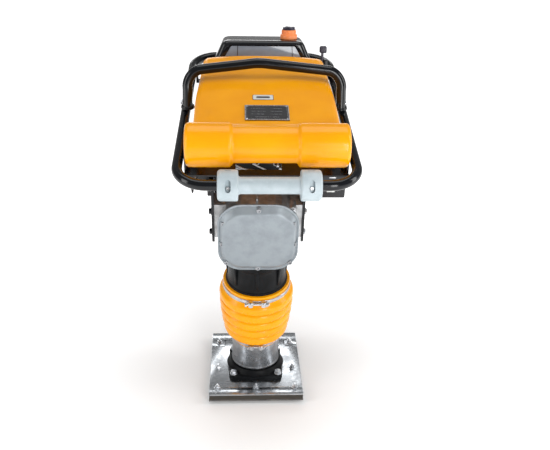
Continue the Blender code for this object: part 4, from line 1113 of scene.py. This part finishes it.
def make_tank():
    """Blow-moulded tank: tapered sides, framed front panel, parting seam and mounting feet. The
    panel's light grey-blue and its two dark bars are a painted reflection of a bright window on the
    black front.
    """
    def ring(height, width, depth, corner):
        loop = oblong(width / 2, depth / 2, corner, 7)
        return [(TANK_MIDDLE[0] + x, TANK_MIDDLE[1] + y, height) for x, y in loop]

    def size_at(height):
        share = max(0.0, (height - 0.962) / 0.058)
        return 0.29 - 0.053 * share, 0.115

    rings = []
    for height, inset in ((0.9003, 0.012), (0.901, 0.0075), (0.903, 0.004), (0.9065, 0.0014),
                          (0.911, 0.0)):
        width, depth = size_at(height)
        rings.append(ring(height, width - 2 * inset, depth - 2 * inset, 0.02))
    for height in (0.916, 0.93, 0.945, 0.956, 0.96, 0.9625, 0.965, 0.968, 0.972,
                   0.98, 0.99, 1.0, 1.006):
        width, depth = size_at(height)
        rings.append(ring(height, width, depth, 0.02))
    for height, inset in ((1.01, 0.0005), (1.014, 0.0022), (1.0172, 0.0054),
                          (1.0191, 0.01), (1.0197, 0.016), (1.0199, 0.03)):
        width, depth = size_at(height)
        rings.append(ring(height, width - 2 * inset, depth - 2 * inset, 0.02))
    tank = Shape()
    tank.add(loft(rings), "tank")
    seam = [ring(h, *(v + grow for v in size_at(0.93)), 0.02)
            for h, grow in ((0.9288, 0.0), (0.9292, 0.0014), (0.9308, 0.0014), (0.9312, 0.0))]
    tank.add(loft(seam, caps=False, closed_way=False), "tank")
    for side in (-1, 1):             # low feet that sit on the bracket
        tank.add(prism(oblong(0.02, 0.018, 0.004), 0.9001, 0.908, 0.001), "tank",
                 moved(TANK_MIDDLE[0] + side * 0.085, 0.224, 0))
    tank.finish("tank_moulding", "black_plastic", "handle", ["fuel_tank"], 40)

    # The pale panel inside the black frame is a painted reflection of a bright window on the glossy
    # black front.
    panel = Shape()
    at = moved(TANK_MIDDLE[0], TANK_FRONT, 0.97, ("X", 90))
    frame_loop = rounded([(-0.124, -0.05), (0.124, -0.05), (0.124, -0.006),
                          (0.099, 0.0385), (-0.099, 0.0385), (-0.124, -0.006)], 0.007, 6)
    panel.add(prism(frame_loop, -0.004, 0.0002, 0.0008), "tank_painted_reflection", at)
    hole = [(x * 0.955, y * 0.9) for x, y in frame_loop]
    rows = [[(x, y, h) for x, y in loop] for loop, h in (
        (frame_loop, -0.001), (frame_loop, 0.0009), (hole, 0.0009), (hole, -0.001))]
    panel.add(loft(rows, caps=False, closed_way=True), "tank", at)
    # Two slanted dark bars across the panel: painted window bars, part of the painted reflection.
    for x, lean_top in ((-0.079, 0.004), (0.09, -0.004)):
        panel.add(prism([(x - 0.0008, -0.044), (x + 0.0008, -0.044),
                         (x + 0.0008 + lean_top, 0.0345), (x - 0.0008 + lean_top, 0.0345)],
                        -0.001, 0.0006), "tank", at)
    panel.finish("tank_painted_reflection", "black_plastic", "handle")


def make_cap():
    """Fuel cap: ribbed orange ring under a dark cross grip."""
    cap = Shape(moved(0.099, 0.252, 1.0203) @ Matrix.Diagonal((1, 1, 0.918, 1)))
    skirt = [(0.0, 0.0), (0.0235, 0.0), (0.025, 0.0006), (0.0254, 0.002), (0.0254, 0.0125),
             (0.0246, 0.0142), (0.0222, 0.0155), (0.0214, 0.0175), (0.0214, 0.0265),
             (0.0206, 0.0285), (0.019, 0.0295), (0.0, 0.0295)]
    cap.add(lathe(skirt, 72), "orange")
    for k in range(24):
        at = about_z(15 * k) @ moved(0.0212, 0, 0.0222)
        cap.add(box((0.0012, 0.0018, 0.0085), 0.0004, 2), "orange", at)
    cap.add(lathe([(0, 0.029), (0.0196, 0.029), (0.02, 0.0298), (0.0196, 0.0306),
                   (0.0, 0.0306)], 56), "slate")
    for angle in (22, 112):
        at = about_z(angle) @ moved(0, 0, 0.0338)
        cap.add(box((0.0375, 0.0088, 0.0076), 0.0024, 4), "slate", at)
    cap.add(lathe([(0, 0.03), (0.007, 0.03), (0.007, 0.0376), (0.0058, 0.0381),
                   (0, 0.0381)], 32), "slate")
    cap.finish("cap_grip", "orange_plastic", "fuel_cap", ["fuel_cap"])


def make_controls():
    """Throttle lever with its curved stem and thumb pad, its bracket, and the cable."""
    lever = Shape()
    x, y, z = 0.2047, 0.265, 0.945
    lever.add(lathe([(0, -0.0034), (0.0072, -0.0034), (0.008, -0.0026), (0.008, 0.0026),
                     (0.0072, 0.0034), (0, 0.0034)], 40), "slate", moved(x, y, z, ("Y", 90)))
    rows = []
    for k in range(13):
        u = k / 12
        cz = z + 0.002 + 0.038 * u
        cy = y - 0.0025 * sin(pi * u)
        wide = 0.0066 - 0.0014 * sin(pi * u)
        rows.append([(x + dx, cy + dy, cz) for dx, dy in
                     oblong(0.0034, wide, 0.0016, 3)])
    lever.add(loft(rows), "slate")
    pad = moved(x + 0.002, y, z + 0.042)
    lever.add(box((0.0215, 0.0175, 0.0195), 0.0042, 5), "slate", pad)
    for k in range(4):
        lever.add(box((0.017, 0.0012, 0.001), 0.0004, 2), "slate",
                  pad @ moved(0, -0.0055 + 0.0037 * k, 0.0097))
    lever.add(prism(hexagon(0.009), 0, 0.003, 0.0004), "zinc",
              moved(x - 0.0034, y, z, ("Y", -90)))
    lever.finish("thumb_lever", "slate_plastic", "throttle_lever", ["throttle_lever"])

    body = Shape()
    at = moved(0.2147, y, z)
    body.add(box((0.0118, 0.0355, 0.0475), 0.0032, 4), "black_plastic", at @ moved(0, 0, -0.01))
    for dy, dz in ((-0.0125, -0.015), (0.0125, -0.015), (0.0, -0.028)):
        socket_screw(body, at @ moved(-0.0058, dy, dz, ("Y", -90)), 0.0026, "zinc", 0.0014)
    body.finish("throttle_body", "black_plastic", "handle", ["throttle_bracket"])

    stops = [(0.2112, 0.2455, 0.939), (0.2065, 0.205, 0.921), (0.2085, 0.16, 0.895),
             (0.203, 0.11, 0.868), (0.158, 0.05, 0.858), (0.095, -0.006, 0.864),
             (0.02, -0.017, 0.864), (-0.03, -0.013, 0.856), (-0.045, -0.01, 0.8315)]
    cable = Shape()
    cable.add(pipe(curve_through(stops, 12), 0.0025, 16), "rubber")
    made = cable.finish("cable_sheath", "black_rubber", None, ["throttle_cable"], 60)
    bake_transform(made)


def make_mounts():
    """Waisted rubber mounts between the brackets and the cross plate."""
    for side, label in ((-1, "left"), (1, "right")):
        for number, r in ((1, -0.045), (2, 0.025)):
            low, high = 0.6904, 0.7122
            profile = [(0, low), (0.0152, low), (0.0158, low + 0.0012), (0.015, low + 0.003),
                       (0.0134, low + 0.007), (0.013, low + 0.0109), (0.0134, high - 0.007),
                       (0.015, high - 0.003), (0.0158, high - 0.0012), (0.0152, high),
                       (0, high)]
            mount = Shape(LEAN)
            mount.add(lathe(profile, 48), "rubber", moved(side * 0.1425, r, 0))
            made = mount.finish(f"{label}_mount_{number}", "black_rubber", None,
                                [f"{label}_rubber_mount_{number}"], 50)
            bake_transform(made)


# ---------------------------------------------------------------- engine and small fittings
def spoke(angle, r=0.0):
    """A place on the shaft's axis, turned about it, whose +Z points rearward."""
    return moved(0, r, SHAFT, ("X", -90), ("Z", angle))


GRIP_X, GRIP_T = 0.048, SHAFT + 0.03


def make_starter():
    """Fan shroud and recoil cover with vent slots, the grip, and the rope between them."""
    shroud = Shape(LEAN)
    profile = [(0.05, 0.256), (0.05, 0.2586), (0.0506, 0.259)]
    profile += arc((0.1, 0.249), 0.01, 90, 0, 6)[:-1]
    profile += [(0.11, 0.248), (0.11, 0.206), (0.1096, 0.2036), (0.107, 0.2006),
                (0.107, 0.252), (0.103, 0.256)]
    shroud.add(lathe(profile, 96, True), "black_plastic", spoke(0))
    for k in range(36):
        rib = box((0.0026, 0.003, 0.034), 0.0008, 2)
        shroud.add(rib, "black_plastic", spoke(10 * k) @ moved(0.11, 0, 0.226))
    for k in range(4):
        lug = rounded([(-0.01, 0.1), (0.01, 0.1), (0.006, 0.117), (-0.006, 0.117)],
                      0.004, 4)
        shroud.add(prism(lug, 0.2036, 0.209, 0.001), "black_plastic", spoke(45 + 90 * k))
        bolt(shroud, spoke(45 + 90 * k) @ moved(0, 0.1115, 0.2091), 0.0075, "zinc")
    shroud.finish("shroud_moulding", "black_plastic", "power_unit", ["fan_shroud"])

    cover = Shape(LEAN)
    dish = [(0.069, 0.26), (0.076, 0.26), (0.0754, 0.264), (0.073, 0.288)]
    dish += arc((0.065, 0.296), 0.008, 0, 90, 6) + [(0.03, 0.3046), (0.0, 0.3048),
                                                       (0.0, 0.2996), (0.061, 0.2996),
                                                       (0.068, 0.294)]
    cover.add(lathe(dish, 96), "black_plastic", spoke(0))
    made = cover.finish("starter_cover", "black_plastic", "power_unit", ["recoil_cover"])
    vents = Shape(LEAN)
    for k in range(18):
        vents.add(box((0.0046, 0.004, 0.02), 0.0016, 2), "black_plastic",
                  spoke(20 * k + 10) @ moved(0.0735, 0, 0.276))
    for k in range(18):
        if k not in (1, 2):
            vents.add(box((0.024, 0.0036, 0.02), 0.0014, 2), "black_plastic",
                      spoke(20 * k) @ moved(0.04, 0, 0.304))
    carve(made, vents)
    trim = Shape(LEAN)
    trim.add(lathe([(0, 0.3046), (0.018, 0.3046), (0.0186, 0.3054), (0.0176, 0.3062),
                    (0, 0.3066)], 56), "zinc", spoke(0))
    at = moved(GRIP_X, 0, GRIP_T, ("X", -90))
    trim.add(bead(0.0092, 0.3052, 0.0018, 40), "slate", at)
    for k in range(3):
        bolt(trim, spoke(120 * k + 30) @ moved(0.072, 0, 0.2894), 0.0062, "zinc")
    trim.finish("starter_trim", "bright_steel", "power_unit")

    grip = Shape(LEAN)
    rows = []
    for height, wide, tall in ((0.3062, 0.005, 0.005), (0.308, 0.0066, 0.0062),
                               (0.312, 0.006, 0.0058), (0.3165, 0.009, 0.0062),
                               (0.3195, 0.0185, 0.0068), (0.3225, 0.0215, 0.0074),
                               (0.327, 0.022, 0.0074), (0.3296, 0.02, 0.0062),
                               (0.3304, 0.015, 0.004)):
        rows.append([(wide * cos(a), tall * sin(a), height)
                     for a in (2 * pi * k / 32 for k in range(32))])
    grip.add(loft(rows), "black_plastic", at)
    grip.finish("starter_grip", "black_plastic", "recoil_grip", ["recoil_grip"], 50)
    rope = Shape(LEAN)
    path = [(0, 0, 0.299 + 0.0005 * k) for k in range(30)]
    rope.add(pipe(path, 0.0017, 12), "label", at)
    made = rope.finish("starter_rope", "black_rubber", None, (), 60)
    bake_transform(made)


def make_engine_details():
    """Engine cover and screws, cylinder fins, ignition lead, filter ribs and muffler guard."""
    block = Shape(LEAN)
    block.add(prism(rounded([(-0.066, -0.066), (0.066, -0.066), (0.066, 0.058),
                             (-0.066, 0.058)], 0.018, 6), 0.0, 0.005, 0.0014), "cast",
              facing(0, 0.12, SHAFT - 0.002))
    for x in (-0.06, 0.0, 0.06):
        for t in (-0.06, 0.052):
            bolt(block, facing(x, 0.1149, SHAFT + t), 0.008, "zinc", washer=False)
    for k in range(5):
        for side in (-1, 1):
            block.add(box((0.006, 0.072, 0.003), 0.001, 2), "cast",
                      moved(side * 0.077, 0.16, SHAFT - 0.062 + 0.014 * k))
    block.add(lathe([(0, 0.0), (0.009, 0.0), (0.01, 0.001), (0.01, 0.01),
                     (0.0086, 0.0116), (0, 0.0116)], 20), "black_plastic",
              moved(-0.076, 0.14, SHAFT + 0.046, ("Y", -90)))
    block.finish("engine_covers", "cast_aluminium", "power_unit")

    head = Shape(LEAN)
    turn = ("Y", 65)
    centre = (0.128, 0.16, SHAFT + 0.052)
    for k in range(5):
        fin = oblong(0.0495, 0.0385, 0.008, 4)
        head.add(prism(fin, -0.0008, 0.0008), "cast",
                 moved(*centre, turn) @ moved(0, 0, -0.009 + 0.014 * k))
    for x in (-0.034, 0.034):
        for y in (-0.027, 0.027):
            bolt(head, moved(*centre, turn) @ moved(x, y, 0.047 - 0.005), 0.009, "zinc")
    head.finish("cylinder_fins", "cast_aluminium", "power_unit")

    lead = Shape(LEAN)
    tip = (0.195, 0.16, SHAFT + 0.083)
    stops = [tip, (0.19, 0.176, SHAFT + 0.098), (0.165, 0.205, SHAFT + 0.105),
             (0.125, 0.222, SHAFT + 0.085), (0.098, 0.226, SHAFT + 0.045)]
    lead.add(pipe(curve_through(stops, 8), 0.0034, 14), "rubber")
    lead.finish("ignition_lead", "black_rubber", "power_unit")

    cleaner = Shape(LEAN)
    middle = (-0.118, 0.156, SHAFT + 0.11)
    for k in range(7):
        cleaner.add(box((0.0016, 0.003, 0.05), 0.0006, 2), "black_plastic",
                    moved(middle[0] - 0.0408, middle[1] - 0.027 + 0.009 * k, middle[2]))
    cleaner.add(box((0.0835, 0.0855, 0.003), 0.0012, 2), "black_plastic",
                moved(middle[0], middle[1], middle[2] + 0.014))
    cleaner.add(lathe([(0, 0), (0.0075, 0), (0.0082, 0.001), (0.0082, 0.006),
                       (0.0068, 0.0074), (0, 0.0074)], 12), "slate",
                moved(middle[0] - 0.041, middle[1] + 0.03, middle[2] + 0.028, ("Y", -90)))
    cleaner.finish("filter_ribs", "black_plastic", "power_unit")

    guard = Shape(LEAN)
    for k in range(6):
        guard.add(box((0.003, 0.0715, 0.0595), 0.001, 2), "dark_steel",
                  moved(0.013 + 0.0128 * k, 0.235, SHAFT + 0.15))
    guard.add(pipe([(0.045, 0.268, SHAFT + 0.15), (0.045, 0.278, SHAFT + 0.15)], 0.008, 24),
              "dark_steel")
    guard.finish("muffler_guard", "dark_steel", "power_unit")


def make_gap_fittings():
    """Fittings seen under the hood: shield, hose ends, fuel pipes, fins, label and clip."""
    shield = Shape(LEAN)
    outline = [(-0.188, 0.612), (-0.108, 0.612), (-0.108, 0.645), (0.126, 0.645),
               (0.126, 0.612), (0.178, 0.609), (0.18, 0.569), (0.246, 0.569), (0.246, 0.69),
               (-0.188, 0.69)]
    shield.add(prism(rounded(outline, 0.004, 3), 0.0, 0.003, 0.0008), "black_plastic",
               facing(0, 0.06, 0))
    shield.add(box((0.066, 0.03, 0.036), 0.003, 2), "black_plastic", moved(0.212, 0.074, 0.59))
    shield.add(box((0.022, 0.0016, 0.008), 0.0006, 2), "label", moved(0.2056, 0.0566, 0.592))
    shield.add(box((0.028, 0.016, 0.03), 0.002, 2), "black_plastic", moved(-0.125, 0.06, 0.592))
    tongue = rounded([(-0.187, 0.625), (-0.1735, 0.625), (-0.1765, 0.59), (-0.1815, 0.581)],
                     0.003, 3)
    shield.add(prism(tongue, 0.0, 0.004, 0.0008), "black_plastic", facing(0, 0.059, 0))
    shield.finish("engine_shield", "black_plastic", "power_unit")

    fittings = Shape(LEAN)
    for x, t in ((-0.0024, 0.6836), (0.0489, 0.681)):
        fittings.add(bead(0.0056, 0, 0.0017, 36), "white",
                     facing(x, 0.053, t))
        fittings.add(lathe([(0, 0), (0.005, 0), (0.005, 0.008), (0, 0.008)], 24), "rubber",
                     facing(x, 0.06, t))
    fittings.add(box((0.033, 0.002, 0.018), 0.0006, 2), "kraft", moved(-0.1572, 0.0566, 0.645))
    for k in range(3):
        fittings.add(box((0.0018, 0.005, 0.03), 0.0005, 2), "cast",
                     moved(-0.1262 + 0.0045 * k, 0.056, 0.657))
    loop = curve_through([(0.199, 0.052, 0.655), (0.206, 0.05, 0.66), (0.213, 0.05, 0.655),
                          (0.211, 0.051, 0.646), (0.203, 0.051, 0.641), (0.1975, 0.052, 0.647)],
                         5, True)
    fittings.add(closed_pipe(loop, 0.0014, 10), "zinc")
    fittings.add(box((0.018, 0.003, 0.004), 0.0006, 2), "zinc", moved(0.207, 0.053, 0.638))
    fittings.finish("shield_fittings", "bright_steel", "power_unit")

    pipes = Shape(LEAN)
    runs = [[(-0.066, 0.036, 0.689), (-0.037, 0.03, 0.6778), (-0.008, 0.03, 0.6733),
             (0.018, 0.03, 0.6687), (0.029, 0.03, 0.656)],
            [(-0.06, 0.034, 0.679), (-0.03, 0.034, 0.669), (0.006, 0.034, 0.664),
             (0.02, 0.034, 0.654)],
            [(-0.014, 0.044, 0.686), (0.011, 0.034, 0.678), (0.03, 0.032, 0.669),
             (0.04, 0.032, 0.656)]]
    for stops, radius, surface in zip(runs, (0.0026, 0.002, 0.002), ("zinc", "zinc", "white")):
        pipes.add(pipe(curve_through(stops, 8), radius, 14), surface)
    for x, t in ((0.053, 0.685), (0.06, 0.676)):
        pipes.add(box((0.008, 0.008, 0.009), 0.002, 3), "zinc", moved(x, 0.034, t, ("Y", 30)))
    for k in range(6):
        pipes.add(box((0.0014, 0.024, 0.046), 0.0004, 2), "cast",
                  moved(0.076 + 0.0058 * k, 0.045, 0.672, ("Y", -12)))
    pipes.finish("fuel_pipes", "bright_steel", "power_unit")


# ---------------------------------------------------------------- materials of kept CAD nodes
PAINT = {
    "sole": ["shoe_sole_plate"],
    "wood": ["shoe_core"],
    "cast": ["crankcase", "engine_block", "cylinder_head", "clutch_housing", "carburettor",
             "connecting_rod", "flywheel_fan"],
    "black": ["handle_cross_plate", "tank_bracket"],
    "black_plastic": ["nameplate", "air_cleaner"],
    "slate": ["choke_lever", "engine_switch"],
    "dark_steel": ["leg_end_cap", "spring_piston", "crank_gear", "clutch_drum", "muffler"],
    "zinc": ["piston_rod", "crank_pin", "clutch_hub", "engine_crankshaft"],
    "rubber": ["cover_gasket", "spark_plug_cap"],
}


def paint_nodes():
    for surface, names in PAINT.items():
        for name in names:
            data = NODES[name].data
            data.materials.clear()
            data.materials.append(M[surface])


def make_floor():
    """White studio ground: plain near the machine, glowing white farther out."""
    n = Nodes("studio_floor")
    speck = n.ramp(n.noise(3, 4), 0.3, 0.7)
    floor_color = n.mix(speck, (0.9, 0.9, 0.9), (0.93, 0.93, 0.93))
    reach = n.add("ShaderNodeVectorMath")
    reach.operation = "LENGTH"
    n.tree.links.new(n.place, reach.inputs[0])
    n.link(n.ramp(reach.outputs["Value"], 0.2, 1.3, 0.12, 0.9),
           n.shader.inputs["Emission Strength"])
    M["floor"] = n.finish(floor_color, n.ramp(n.noise(8, 3), 0.3, 0.7, 0.75, 0.9),
                          Emission_Color=(1, 1, 1, 1))
    rows = [[(x, y, -0.0002) for y in (-30.0, 0.0, 30.0)] for x in (-30.0, 0.0, 30.0)]
    floor = Shape()
    floor.add(loft(rows, closed_rows=False, caps=False), "floor")
    floor.finish("floor", "black_rubber", sharp=60)


bpy.context.scene.view_settings.view_transform = "Standard"
for make in (make_camera, make_lights, make_floor, make_shoe_deck, make_flange, make_leg_tube,
             make_clamps, make_bellows, make_springs, make_guide, make_cover, make_case_details,
             make_handle, make_roller, make_hood, make_plates, make_tank, make_cap,
             make_controls, make_mounts, make_starter, make_engine_details, make_gap_fittings,
             paint_nodes):
    make()
